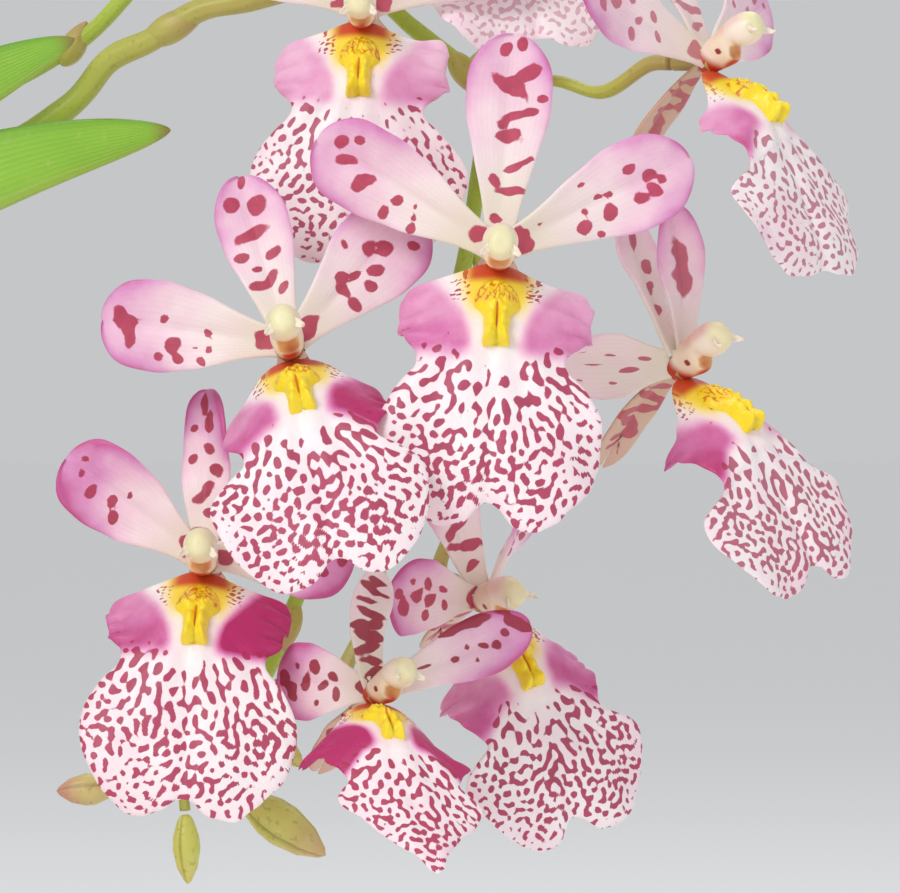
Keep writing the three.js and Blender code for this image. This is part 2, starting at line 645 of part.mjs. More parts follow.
// The potting mix: a plug of bark in the pot with flat chips standing out of its top
function mixSolid() {
  const top = potInside(MIX_TOP) - GAP;
  const low = potInside(POT_FLOOR + GAP) - GAP;
  const foot = POT_FLOOR + GAP;
  const plug = [[0, foot], [low, foot], [top, MIX_TOP - 0.6], [top - 1, MIX_TOP], [0, MIX_TOP]];
  const random = seeded(21);
  const chips = [];
  for (let k = 0; k < MIX_CHIPS; k += 1) {
    const reach = (top - CHIP_LENGTH * 0.62) * Math.sqrt((k + 0.5) / MIX_CHIPS);
    const turn = k * 2.39996;
    const size = V(mix(0.6, 1, random()) * CHIP_LENGTH, mix(0.4, 0.65, random()) * CHIP_LENGTH, 3);
    const tilt = new THREE.Euler(rad(30 * (random() - 0.5)), rad(30 * (random() - 0.5)), rad(360 * random()));
    const place = new THREE.Matrix4().makeRotationFromEuler(tilt);
    place.setPosition(reach * Math.cos(turn), reach * Math.sin(turn), MIX_TOP + 0.1);
    chips.push(solidOf(new THREE.BoxGeometry(size.x, size.y, size.z), place));
  }
  const outline = plug.map((p) => new THREE.Vector2(...p));
  const round = new THREE.LatheGeometry(outline, POT_SIDES).rotateX(Math.PI / 2);
  const body = join([solidOf(round), ...chips]);
  const clear = FANS.map(({ at, turn }) => {
    const room = new THREE.CylinderGeometry(1, 1, 30, 12).rotateX(Math.PI / 2).scale(12, 3.6, 1);
    return solidOf(room, new THREE.Matrix4().makeRotationZ(rad(turn)).setPosition(...at, MIX_TOP + 15 - GAP));
  });
  const holes = [[PEDUNCLE, PEDUNCLE_RADIUS], [YOUNG_SPIKE, SPIKE_RADIUS]].map(([[foot, neck], radius]) => {
    const below = foot.clone().setZ(foot.z - GAP);
    return stalk([below, neck, neck.clone().setZ(neck.z + 6)], radius + 2 * GAP, 3, 8);
  });
  return [...clear, ...holes, rootsSolid(GAP)].reduce((rest, cut) => rest.subtract(cut), body);
}

// The pot: a tapered clay wall with a rim band, a floor and drain holes
const potOutside = (z) => mix(POT_BASE_RADIUS, POT_TOP_RADIUS - RIM_PROUD, z / POT_HEIGHT);
function potInside(z) {
  return potOutside(z) - POT_WALL + 0.4 * RIM_PROUD;
}

function potSolid() {
  const band = POT_HEIGHT - RIM_HEIGHT;
  const profile = [
    [0, 0], [POT_BASE_RADIUS - 1, 0], [POT_BASE_RADIUS, 1], [potOutside(band), band],
    [POT_TOP_RADIUS - 0.6, band + 1], [POT_TOP_RADIUS, POT_HEIGHT - 1.2], [POT_TOP_RADIUS - 1.2, POT_HEIGHT],
    [potInside(POT_HEIGHT) + 1, POT_HEIGHT], [potInside(POT_HEIGHT - 1), POT_HEIGHT - 1],
    [potInside(POT_FLOOR), POT_FLOOR], [0, POT_FLOOR],
  ];
  const body = solidOf(new THREE.LatheGeometry(profile.map((p) => new THREE.Vector2(...p)), POT_SIDES)
    .rotateX(Math.PI / 2));
  const hole = new THREE.CylinderGeometry(DRAIN_RADIUS, DRAIN_RADIUS, POT_FLOOR * 3, 12).rotateX(Math.PI / 2);
  const drains = Array.from({ length: DRAIN_HOLES }, (_, k) => {
    const turn = 2 * Math.PI * (k + 0.25) / DRAIN_HOLES;
    const place = [DRAIN_OFFSET * Math.cos(turn), DRAIN_OFFSET * Math.sin(turn), POT_FLOOR / 2];
    return solidOf(hole, new THREE.Matrix4().setPosition(...place));
  });
  return drains.reduce((rest, cut) => rest.subtract(cut), body);
}

const group = new THREE.Group();

function addMesh(name, solid, colour, roughness) {
  const material = new THREE.MeshStandardMaterial({ color: colour, roughness, metalness: 0 });
  const mesh = new THREE.Mesh(geometryOf(solid), material);
  mesh.name = name;
  group.add(mesh);
}

addMesh('pot', potSolid(), 0xb5653f, 0.9);
addMesh('potting_mix', mixSolid(), 0x5b3a24, 0.95);
addMesh('rhizome_and_roots', rootsSolid(), 0xb9b79a, 0.7);
for (const fan of FANS) addMesh(fan.name, fanSolid(fan), 0x5fae2a, 0.45);
addMesh('flower_stem', flowerStemSolid(), 0x8f9a3c, 0.5);
addMesh('young_spike', youngSpikeSolid(), 0x7f9c3a, 0.5);
for (const bud of BUDS) addMesh(bud.name, budSolid(bud), 0xa9ac52, 0.5);
for (const bloom of BLOOMS) addMesh(bloom.name, bloomSolid(bloom), 0xe6c3d3, 0.55);

export default group;
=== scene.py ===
"""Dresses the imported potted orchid: fine petals, spotted lips, waxy leaves, bark, roots and a clay pot."""

from math import cos, pi, radians, sin

import bpy
import numpy as np
from mathutils import Matrix, Vector


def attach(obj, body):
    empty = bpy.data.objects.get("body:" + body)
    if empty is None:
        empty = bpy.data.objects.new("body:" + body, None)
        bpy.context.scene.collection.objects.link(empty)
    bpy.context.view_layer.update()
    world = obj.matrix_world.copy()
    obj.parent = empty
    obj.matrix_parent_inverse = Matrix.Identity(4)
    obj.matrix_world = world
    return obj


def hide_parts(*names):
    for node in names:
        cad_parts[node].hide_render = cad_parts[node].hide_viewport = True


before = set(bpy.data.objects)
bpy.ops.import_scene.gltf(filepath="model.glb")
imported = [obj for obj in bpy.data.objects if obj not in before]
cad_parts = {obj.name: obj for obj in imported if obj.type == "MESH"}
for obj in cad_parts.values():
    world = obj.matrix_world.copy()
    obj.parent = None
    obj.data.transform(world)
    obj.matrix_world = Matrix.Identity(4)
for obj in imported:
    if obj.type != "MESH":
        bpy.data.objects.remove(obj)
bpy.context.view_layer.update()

# Places and sizes below are in millimetres, +Z up, and the blooms face -Y. A mesh is made in metres.
MM = 0.001
SPRAY = np.array([79.0, 0.0, 75.0])
FACE = np.array([0.0, -1.0, 0.0])

# Pot and mix
POT_TOP_RADIUS = 35
POT_BASE_RADIUS = 24
POT_HEIGHT = 62
POT_WALL = 4
POT_FLOOR = 5
RIM_HEIGHT = 14
RIM_PROUD = 1.8
DRAIN_RADIUS = 3.5
DRAIN_OFFSET = 12
DRAIN_HOLES = 3
MIX_TOP = 54
GAP = 0.3

# Bloom
BLADE = 0.42
SEPAL_LENGTH = 12.4
PETAL_LENGTH = 13
COLUMN_LENGTH = 5.6
COLUMN_RISE = 24
NECK_LENGTH = 3
NECK_RADIUS = 0.6

# Stems
PEDUNCLE_RADIUS = 0.85
RACHIS_RADIUS = 0.6
PEDICEL_RADIUS = 0.42
SPIKE_RADIUS = 0.6


def rise(x, low, high):
    """Smooth rise from 0 to 1 between two values."""
    t = np.clip((x - low) / (high - low), 0, 1)
    return t * t * (3 - 2 * t)


def mix(a, b, share):
    return a + (b - a) * share


def ripples(seed, count=7, low=0.6, high=1.6):
    """A smooth random function of points, about -1 to 1, with waves of low to high radians a unit."""
    rng = np.random.default_rng(seed)
    ways = rng.normal(size=(count, 3))
    ways *= (rng.uniform(low, high, count) / np.linalg.norm(ways, axis=1))[:, None]
    shifts = rng.uniform(0, 2 * pi, count)
    return lambda p: np.sin(np.asarray(p) @ ways.T + shifts).sum(-1) / np.sqrt(count) * 0.9


def plane(x, y):
    """Places on a flat sheet, as points for such a function."""
    return np.stack([x, y, 0 * x], -1)


# Meshes
MASKS = ("across", "spot", "strength", "flush", "warm", "green", "rich")


class Piece:
    """One mesh put together from parts. Each point carries masks that its materials read."""

    def __init__(self, skins):
        self.skins = skins
        self.points = []
        self.masks = {name: [] for name in MASKS}
        self.faces = []
        self.face_skins = []
        self.total = 0

    def add(self, points, faces, skin, **masks):
        """faces is a list of index arrays with 3 or 4 corners a face."""
        points = np.asarray(points, float).reshape(-1, 3)
        self.points.append(points)
        for name in MASKS:
            value = np.broadcast_to(np.asarray(masks.get(name, 0.0), float).ravel(), len(points))
            self.masks[name].append(value)
        for group in faces:
            group = np.asarray(group, int)
            if len(group):
                self.faces.extend((group + self.total).tolist())
                self.face_skins.append(np.full(len(group), self.skins.index(skin)))
        self.total += len(points)

    def build(self, name, slot, replaced, matrix=None):
        """Makes the object in place of a plain node. matrix is in millimetres."""
        points = np.concatenate(self.points)
        if matrix is not None:
            points = points @ matrix[:3, :3].T + matrix[:3, 3]
        mesh = bpy.data.meshes.new(name)
        mesh.from_pydata(points * MM, [], self.faces)
        for skin in self.skins:
            mesh.materials.append(skin)
        mesh.polygons.foreach_set("material_index", np.concatenate(self.face_skins).astype(np.int32))
        mesh.polygons.foreach_set("use_smooth", np.ones(len(mesh.polygons), bool))
        for mask in MASKS:
            values = np.concatenate(self.masks[mask]).astype(np.float32)
            if np.ptp(values) or values[0]:
                mesh.attributes.new(mask, "FLOAT", "POINT").data.foreach_set("value", values)
        mesh.update()
        made = bpy.data.objects.new(name, mesh)
        bpy.context.scene.collection.objects.link(made)
        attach(made, "root")
        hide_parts(replaced)
        return made


def grid_faces(rows, columns):
    """Quads of a grid of points. The normal is across a row, then along a column."""
    i, j = np.meshgrid(np.arange(rows), np.arange(columns), indexing="ij")
    a = (i * (columns + 1) + j).ravel()
    b = a + columns + 1
    return np.stack([a, a + 1, b + 1, b], -1)


def ring_faces(rings, around, start=0, flip=False):
    """Quads that join rings of points round a middle line."""
    i, k = np.meshgrid(np.arange(rings - 1), np.arange(around), indexing="ij")
    a = (start + i * around + k).ravel()
    b = (start + i * around + (k + 1) % around).ravel()
    quads = np.stack([a, b, b + around, a + around], -1)
    return quads[:, ::-1] if flip else quads


def fan_faces(middle, first, around, flip=False):
    """Triangles from a middle point to a ring."""
    k = np.arange(around)
    triangles = np.stack([np.full(around, middle), first + (k + 1) % around, first + k], -1)
    return triangles[:, ::-1] if flip else triangles


def capped_faces(rings, around, flip=False):
    """Faces of a closed form made of rings. Its two end points come last."""
    last = rings * around
    return [
        ring_faces(rings, around, 0, flip),
        fan_faces(last, 0, around, flip),
        fan_faces(last + 1, last - around, around, not flip),
    ]


def normals_of(points, faces):
    """Unit normals of a mesh's points."""
    normals = np.zeros_like(points)
    for group in faces:
        first, second, third = (points[group[:, corner]] for corner in range(3))
        normal = np.cross(second - first, third - first)
        for corner in range(group.shape[1]):
            np.add.at(normals, group[:, corner], normal)
    return normals / np.maximum(np.linalg.norm(normals, axis=1), 1e-12)[:, None]


def spline(points, closed=False, tension=None, count=400):
    """A Catmull-Rom curve through points as many points: centripetal, or uniform with a tension."""
    points = np.asarray(points, float)
    if closed:
        held = np.concatenate([points[-1:], points, points[:2]])
    else:
        held = np.concatenate([2 * points[:1] - points[1:2], points, 2 * points[-1:] - points[-2:-1]])
    line = []
    for p0, p1, p2, p3 in zip(held, held[1:], held[2:], held[3:]):
        if tension is None:
            d0, d1, d2 = (max(np.linalg.norm(q - p) ** 0.5, 1e-4) for p, q in ((p0, p1), (p1, p2), (p2, p3)))
            m1 = ((p1 - p0) / d0 - (p2 - p0) / (d0 + d1) + (p2 - p1) / d1) * d1
            m2 = ((p2 - p1) / d1 - (p3 - p1) / (d1 + d2) + (p3 - p2) / d2) * d1
        else:
            m1, m2 = tension * (p2 - p0), tension * (p3 - p1)
        t = np.linspace(0, 1, 40, endpoint=False)[:, None]
        curve = p1 + m1 * t + (3 * (p2 - p1) - 2 * m1 - m2) * t**2 + (2 * (p1 - p2) + m1 + m2) * t**3
        line.append(curve)
    line.append(points[:1] if closed else points[-1:])
    line = np.concatenate(line)
    run = np.concatenate([[0], np.cumsum(np.linalg.norm(np.diff(line, axis=0), axis=1))])
    at = np.linspace(0, run[-1], count, endpoint=not closed)
    return np.stack([np.interp(at, run, line[:, k]) for k in range(line.shape[1])], -1)


def tube(piece, skin, path, radius, rings=40, sides=12, bumps=None, **masks):
    """A closed round stalk along a path. radius is a number or a function of the share of its length."""
    path = spline(path, count=rings)
    share = np.linspace(0, 1, rings)
    tangent = np.gradient(path, axis=0)
    tangent /= np.linalg.norm(tangent, axis=1)[:, None]
    side = np.cross(tangent[0], [0.3, 1, 0.2])
    rows = []
    turns = 2 * pi * np.arange(sides) / sides
    for k in range(rings):
        side = side - tangent[k] * (side @ tangent[k])
        side /= np.linalg.norm(side)
        other = np.cross(tangent[k], side)
        thick = radius(share[k]) if callable(radius) else radius
        ring = path[k] + thick * (np.cos(turns)[:, None] * side + np.sin(turns)[:, None] * other)
        if bumps is not None:
            ring = path[k] + (ring - path[k]) * (1 + bumps(ring))[:, None]
        rows.append(ring)
    points = np.concatenate([*rows, path[:1], path[-1:]])
    run = np.append(np.repeat(share, sides), [0, 1])
    made = {"across": np.append(np.tile(turns, rings), [0, 0]) / pi - 1}
    made.update({name: mask(run) if callable(mask) else mask for name, mask in masks.items()})
    piece.add(points, capped_faces(rings, sides), skin, **made)


# Materials
def tone(red, green, blue):
    """A colour as a screen shows it, from 0 to 255, as Blender's linear colour."""
    shown = np.array([red, green, blue]) / 255
    linear = np.where(shown <= 0.04045, shown / 12.92, ((shown + 0.055) / 1.055) ** 2.4)
    return (*(float(x) for x in linear), 1.0)


class Skin:
    """Short names for the nodes of one material."""

    def __init__(self, name, roughness=0.5, **settings):
        self.material = bpy.data.materials.new(name)
        self.material.use_nodes = True
        self.tree = self.material.node_tree
        self.shader = self.tree.nodes["Principled BSDF"]
        self.shader.inputs["Roughness"].default_value = roughness
        for socket, value in settings.items():
            self.shader.inputs[socket.replace("_", " ")].default_value = value
        self.place = self.node("ShaderNodeTexCoord").outputs["Object"]

    def node(self, kind, **settings):
        made = self.tree.nodes.new(kind)
        for name, value in settings.items():
            setattr(made, name, value)
        return made

    def feed(self, socket, value):
        """Feeds a socket with another socket, with a constant, or with the mask of a name."""
        if isinstance(value, str):
            value = self.node("ShaderNodeAttribute", attribute_name=value).outputs["Fac"]
        if isinstance(value, bpy.types.NodeSocket):
            self.tree.links.new(value, socket)
        else:
            socket.default_value = value

    def math(self, operation, a, b=0.0):
        made = self.node("ShaderNodeMath", operation=operation)
        self.feed(made.inputs[0], a)
        self.feed(made.inputs[1], b)
        return made.outputs[0]

    def plus(self, a, b):
        return self.math("ADD", a, b)

    def times(self, a, b):
        return self.math("MULTIPLY", a, b)

    def step(self, value, low, high):
        made = self.node("ShaderNodeMapRange", interpolation_type="SMOOTHSTEP")
        self.feed(made.inputs["Value"], value)
        made.inputs["From Min"].default_value = low
        made.inputs["From Max"].default_value = high
        return made.outputs["Result"]

    def blend(self, share, a, b):
        made = self.node("ShaderNodeMix", data_type="RGBA")
        self.feed(made.inputs["Factor"], share)
        self.feed(made.inputs["A"], a)
        self.feed(made.inputs["B"], b)
        return made.outputs["Result"]

    def wash(self, ground, **colours):
        """Lays a colour over the ground for each mask that is named, in that order."""
        for mask, colour in colours.items():
            ground = self.blend(mask, ground, tone(*colour))
        return ground

    def ramp(self, value, *stops):
        """Colours by a value. A stop is its place, then red, green and blue."""
        made = self.node("ShaderNodeValToRGB")
        self.feed(made.inputs["Fac"], value)
        elements = made.color_ramp.elements
        while len(elements) < len(stops):
            elements.new(1.0)
        for element, (place, *colour) in zip(elements, stops):
            element.position = place
            element.color = tone(*colour)
        return made.outputs["Color"]

    def noise(self, size, detail=2.0, stretch=None):
        """Noise whose features are size millimetres across, from 0 to 1."""
        made = self.node("ShaderNodeTexNoise")
        made.inputs["Scale"].default_value = 1 / (size * MM)
        made.inputs["Detail"].default_value = detail
        place = self.place
        if stretch is not None:
            mapping = self.node("ShaderNodeMapping")
            self.feed(mapping.inputs["Vector"], self.place)
            mapping.inputs["Scale"].default_value = stretch
            place = mapping.outputs["Vector"]
        self.feed(made.inputs["Vector"], place)
        return made.outputs["Fac"]

    def cells(self, size):
        made = self.node("ShaderNodeTexVoronoi")
        made.inputs["Scale"].default_value = 1 / (size * MM)
        self.feed(made.inputs["Vector"], self.place)
        return made.outputs["Distance"]

    def veins(self, count):
        """Fine ribs that run along a blade: 0 to 1 across it."""
        wave = self.math("SINE", self.times("across", count * pi))
        return self.math("MULTIPLY_ADD", wave, 0.5)

    def paint(self, colour, bump=None, distance=0.1, strength=0.5):
        self.feed(self.shader.inputs["Base Color"], colour)
        if bump is not None:
            made = self.node("ShaderNodeBump")
            made.inputs["Strength"].default_value = strength
            made.inputs["Distance"].default_value = distance * MM
            self.feed(made.inputs["Height"], bump)
            self.feed(self.shader.inputs["Normal"], made.outputs["Normal"])
        return self.material


SOFT = {
    "Subsurface_Weight": 0.12,
    "Subsurface_Scale": 0.0009,
    "Subsurface_Radius": (1.0, 0.45, 0.5),
    "Sheen_Weight": 0.08,
    "Sheen_Roughness": 0.4,
}


def rough_by(skin, low, high, size):
    """Roughness that varies softly over the surface."""
    made = skin.node("ShaderNodeMapRange")
    skin.feed(made.inputs["Value"], skin.noise(size, 3))
    made.inputs["To Min"].default_value = low
    made.inputs["To Max"].default_value = high
    skin.feed(skin.shader.inputs["Roughness"], made.outputs["Result"])


def petal_skin():
    """Sepals and petals: cream at the claw, pink to lilac at the tip, crimson blotches."""
    skin = Skin("petal", **SOFT)
    cloud = skin.noise(2.2, 3)
    flush = skin.plus("flush", skin.math("MULTIPLY_ADD", cloud, 0.5))
    flush = skin.math("SUBTRACT", flush, 0.76)
    ground = skin.ramp(
        flush,
        (0.0, 240, 228, 220), (0.25, 246, 222, 226), (0.5, 240, 196, 216), (0.75, 222, 150, 198),
        (1.0, 200, 88, 150),
    )
    ground = skin.wash(ground, green=(214, 214, 164), warm=(206, 168, 128))
    vein = skin.step(skin.veins(15), 0.55, 1.0)
    ground = skin.blend(skin.times(vein, 0.05), ground, tone(206, 140, 160))
    rough = skin.math("MULTIPLY_ADD", skin.noise(0.5, 2), 0.3)
    field = skin.plus("spot", rough)
    blotch = skin.step(skin.math("SUBTRACT", field, 0.65), -0.05, 0.11)
    shade = skin.blend(skin.noise(0.9, 2), tone(164, 22, 62), tone(206, 66, 104))
    shade = skin.blend("rich", shade, tone(150, 16, 44))
    blotch = skin.times(blotch, "strength")
    colour = skin.blend(blotch, ground, shade)
    rough_by(skin, 0.36, 0.58, 1.0)
    relief = skin.plus(skin.times(skin.veins(15), 0.2), skin.noise(0.16, 2))
    return skin.paint(colour, relief, 0.05, 0.5)


def lip_skin():
    """The lip: rose spots and worms on white, magenta side lobes and a yellow wash round the callus."""
    skin = Skin("lip", **SOFT)
    cloud = skin.math("MULTIPLY_ADD", skin.noise(1.6, 3), 0.3)
    flush = skin.math("SUBTRACT", skin.plus("flush", cloud), 0.65)
    ground = skin.ramp(
        flush,
        (0.0, 253, 244, 244), (0.25, 249, 222, 230), (0.5, 236, 172, 206), (0.75, 214, 112, 170),
        (1.0, 184, 36, 104),
    )
    ground = skin.wash(ground, warm=(255, 222, 56), green=(206, 74, 30))
    edge = skin.math("MULTIPLY_ADD", skin.noise(0.25, 2), 0.3)
    field = skin.math("SUBTRACT", skin.plus("spot", edge), 0.65)
    spot = skin.step(field, -0.14, 0.16)
    shade = skin.blend(skin.noise(0.8, 2), tone(152, 16, 64), tone(192, 48, 100))
    shade = skin.blend("rich", shade, tone(176, 24, 78))
    shade = skin.blend(skin.step("warm", 0.25, 0.6), shade, tone(196, 84, 22))
    colour = skin.blend(skin.times(spot, "strength"), ground, shade)
    rough_by(skin, 0.36, 0.6, 0.8)
    relief = skin.plus(skin.noise(0.3, 3), skin.times(spot, -0.25))
    return skin.paint(colour, relief, 0.07, 0.6)


def callus_skin():
    """The callus: bright yellow warts with rusty dashes between them."""
    glow = {"Subsurface_Weight": 0.1, "Subsurface_Scale": 0.0008, "Subsurface_Radius": (1, 0.6, 0.2)}
    skin = Skin("callus", 0.34, **glow)
    ground = skin.blend(skin.noise(0.7, 2), tone(255, 212, 16), tone(255, 236, 50))
    ground = skin.wash(ground, flush=(240, 150, 24))
    dash = skin.step("spot", -0.1, 0.25)
    colour = skin.blend(skin.times(dash, "strength"), ground, tone(206, 84, 16))
    return skin.paint(colour, skin.noise(0.22, 3), 0.1, 0.5)


def column_skin():
    """The column: cream hood, peach stigma, red where it meets the lip, and red as painted shade deep in the
    stigma's hollow.
    """
    skin = Skin("column", 0.38, **{**SOFT, "Sheen_Weight": 0.03})
    ground = skin.blend(skin.noise(1.2, 2), tone(252, 242, 224), tone(244, 226, 204))
    ground = skin.wash(ground, green=(232, 228, 160), flush=(228, 156, 158), warm=(222, 168, 104))
    colour = skin.blend("rich", ground, tone(196, 56, 24))
    colour = skin.blend(skin.step("spot", 0.0, 0.3), colour, tone(150, 44, 40))
    return skin.paint(colour, skin.noise(0.3, 3), 0.06, 0.4)


def stem_skin():
    """Pedicels and rachis: yellow green to olive, flushed tan in patches."""
    skin = Skin("stem", 0.42, Subsurface_Weight=0.06, Subsurface_Scale=0.001)
    ground = skin.blend(skin.noise(3.0, 3), tone(172, 184, 56), tone(206, 204, 92))
    ground = skin.wash(ground, green=(150, 188, 52), warm=(176, 146, 92), flush=(186, 118, 116))
    speck = skin.step(skin.noise(0.35, 2), 0.6, 0.72)
    colour = skin.blend(skin.times(speck, 0.3), ground, tone(112, 92, 40))
    relief = skin.plus(skin.veins(7), skin.noise(0.4, 3))
    return skin.paint(colour, relief, 0.06, 0.4)


def bud_skin():
    """Buds: yellow green to tan with a pink tip and darker seams between the sepals."""
    skin = Skin("bud", 0.4, Subsurface_Weight=0.06, Subsurface_Scale=0.001)
    ground = skin.blend(skin.noise(1.3, 3), tone(238, 234, 132), tone(206, 204, 98))
    ground = skin.wash(ground, green=(196, 208, 88), warm=(196, 162, 124), flush=(206, 140, 138))
    speck = skin.step(skin.noise(0.5, 3), 0.56, 0.7)
    colour = skin.blend(skin.times(speck, 0.35), ground, tone(128, 88, 60))
    colour = skin.blend("rich", colour, tone(126, 120, 52))
    return skin.paint(colour, skin.noise(0.35, 3), 0.06, 0.5)


def leaf_skin():
    """Leaves: bright waxy green, paler on the keel, with faint ribs and worn, yellowed tips."""
    wax = {"Coat_Weight": 0.12, "Coat_Roughness": 0.3}
    skin = Skin("leaf", 0.34, Subsurface_Weight=0.05, Subsurface_Scale=0.0015, **wax)
    ground = skin.blend(skin.noise(7.0, 3), tone(128, 186, 44), tone(172, 220, 72))
    ground = skin.wash(ground, green=(96, 152, 36), warm=(186, 206, 100))
    rib = skin.times(skin.step(skin.veins(13), 0.6, 1.0), 0.09)
    ground = skin.blend(rib, ground, tone(96, 148, 40))
    speck = skin.times(skin.step(skin.noise(0.7, 2), 0.64, 0.74), 0.35)
    ground = skin.blend(speck, ground, tone(184, 196, 104))
    colour = skin.blend("flush", ground, tone(142, 96, 60))
    relief = skin.plus(skin.times(skin.veins(13), 0.4), skin.noise(0.6, 3))
    rough_by(skin, 0.26, 0.46, 2.0)
    return skin.paint(colour, relief, 0.09, 0.45)


def root_skin():
    """Roots: silvery, spongy skin with green tips. The rhizome is brown and scaly."""
    skin = Skin("root", 0.75)
    ground = skin.blend(skin.noise(1.2, 3), tone(196, 194, 172), tone(150, 148, 120))
    ground = skin.wash(ground, green=(120, 152, 62), warm=(128, 108, 66))
    grain = skin.noise(0.25, 4)
    colour = skin.blend(skin.times(skin.step(grain, 0.5, 0.7), 0.4), ground, tone(112, 100, 74))
    return skin.paint(colour, grain, 0.12, 0.7)


def bark_skin():
    """Bark chips: layered plates of red brown to dark brown, with dark crumbs."""
    skin = Skin("bark", 0.85)
    layer = skin.noise(1.4, 5, stretch=(1, 1, 3))
    ground = skin.ramp(
        skin.plus(layer, "across"),
        (0.3, 46, 30, 20), (0.5, 94, 58, 38), (0.68, 134, 88, 58), (0.9, 172, 128, 90),
    )
    crumb = skin.times(skin.step(skin.noise(0.5, 3), 0.55, 0.75), 0.5)
    colour = skin.blend(crumb, ground, tone(58, 36, 26))
    relief = skin.plus(layer, skin.times(skin.cells(0.8), 0.8))
    return skin.paint(colour, relief, 0.35, 0.8)


def clay_skin():
    """Terracotta: fired orange clay with throwing marks, pores and pale bloom near the foot and rim."""
    skin = Skin("clay", 0.82)
    ground = skin.blend(skin.noise(14, 4), tone(176, 96, 62), tone(202, 124, 84))
    marks = skin.noise(3.0, 3, stretch=(0.12, 0.12, 1))
    ground = skin.blend(skin.times(marks, 0.35), ground, tone(158, 80, 52))
    lime = skin.times(skin.step(skin.plus(skin.noise(6, 5), "warm"), 0.86, 1.2), 0.6)
    ground = skin.blend(lime, ground, tone(222, 196, 172))
    damp = skin.times(skin.step(skin.noise(20, 3), 0.5, 0.7), 0.25)
    ground = skin.blend(damp, ground, tone(140, 74, 50))
    pore = skin.step(skin.noise(0.7, 2), 0.66, 0.74)
    colour = skin.blend(skin.times(pore, 0.5), ground, tone(116, 60, 40))
    relief = skin.math("SUBTRACT", skin.plus(marks, skin.noise(0.9, 4)), pore)
    rough_by(skin, 0.72, 0.92, 5)
    return skin.paint(colour, relief, 0.2, 0.5)


PETAL = petal_skin()
LIP_SKIN = lip_skin()
CALLUS = callus_skin()
COLUMN = column_skin()
STEM = stem_skin()
BUD = bud_skin()
LEAF = leaf_skin()
ROOT = root_skin()
BARK = bark_skin()
CLAY = clay_skin()


# Petals and sepals
def heading(organ, share):
    """The flat direction, across direction, run and lean of a petal or sepal at a share of its length."""
    angle = radians(organ["angle"])
    out = np.array([sin(angle), 0, cos(angle)])
    across = np.array([cos(angle), 0, -sin(angle)])
    lean = np.radians(organ["lean"] + organ["bend"] * share)[..., None]
    side = np.radians(organ["side"] * share)[..., None]
    flat = out * np.cos(side) + across * np.sin(side)
    wide = across * np.cos(side) - out * np.sin(side)
    return flat, wide, flat * np.cos(lean) + FACE * np.sin(lean), lean


def blade_half(organ, s):
    """Half width along a petal or sepal, narrow at the claw and round at the tip."""
    claw = mix(organ["claw"], organ["half"], rise(s, 0, organ["peak"]))
    past = np.clip((s - organ["peak"]) / (1 - organ["peak"]), 0, 1)
    uneven = 0.025 * np.sin(9 * s + organ["angle"]) + 0.015 * np.sin(23 * s + organ["angle"])
    uneven = 1 + uneven * rise(s, 0.3, 0.6)
    return np.where(s < organ["peak"], claw, organ["half"] * np.sqrt(1 - 0.9995 * past**2.5)) * uneven


def blade_points(organ, s, t):
    """Points of a petal or sepal: s runs along it from 0 to 1, t across it from -1 to 1."""
    steps = 12
    cut = s * (1 - organ["notch"] * (1 - abs(t)) ** 2 * s**6)
    point = np.zeros(s.shape + (3,)) + np.array(organ["root"], float)
    for k in range(steps):
        run = heading(organ, cut * (k + 0.5) / steps)[2]
        point = point + run * (organ["length"] * cut / steps)[..., None]
    flat, wide, _, lean = heading(organ, cut)
    up = FACE * np.cos(lean) - flat * np.sin(lean)
    turn = np.radians(organ["turn"] + organ["twist"] * cut)[..., None]
    wide, up = wide * np.cos(turn) + up * np.sin(turn), up * np.cos(turn) - wide * np.sin(turn)
    half = blade_half(organ, s)
    wave = organ["wave"] * np.sin(organ["waves"] * pi * s + 1.3 * t) * t * t * rise(s, 0.1, 0.5)
    crease = -0.22 * np.exp(-((t * half / 0.45) ** 2)) * rise(s, 0.1, 0.4) * (1 - rise(s, 0.75, 1))
    lift = organ["cup"] * half * t * t + wave + crease
    return point + wide * (half * t)[..., None] + up * lift[..., None]


def blotch_field(organ, marks, s, t, wobble):
    """Above 0 inside the blotches. A blotch is (s, t, half length, half width, tilt) in millimetres."""
    x = t * blade_half(organ, s)
    y = s * organ["length"]
    field = np.full(s.shape, -1.0)
    ragged = 0.3 * wobble(plane(x, y) * 2.4) + 0.22 * wobble(plane(y, x) * 5.2)
    for along, across, long, wide, tilt in marks:
        dx = x - across * blade_half(organ, np.float64(along))
        dy = y - along * organ["length"]
        way = radians(tilt)
        u = (dx * cos(way) + dy * sin(way)) / long
        v = (dy * cos(way) - dx * sin(way)) / wide
        field = np.maximum(field, 1 - np.sqrt(u * u + v * v) + ragged)
    return np.clip(field * 0.8, -1, 1)


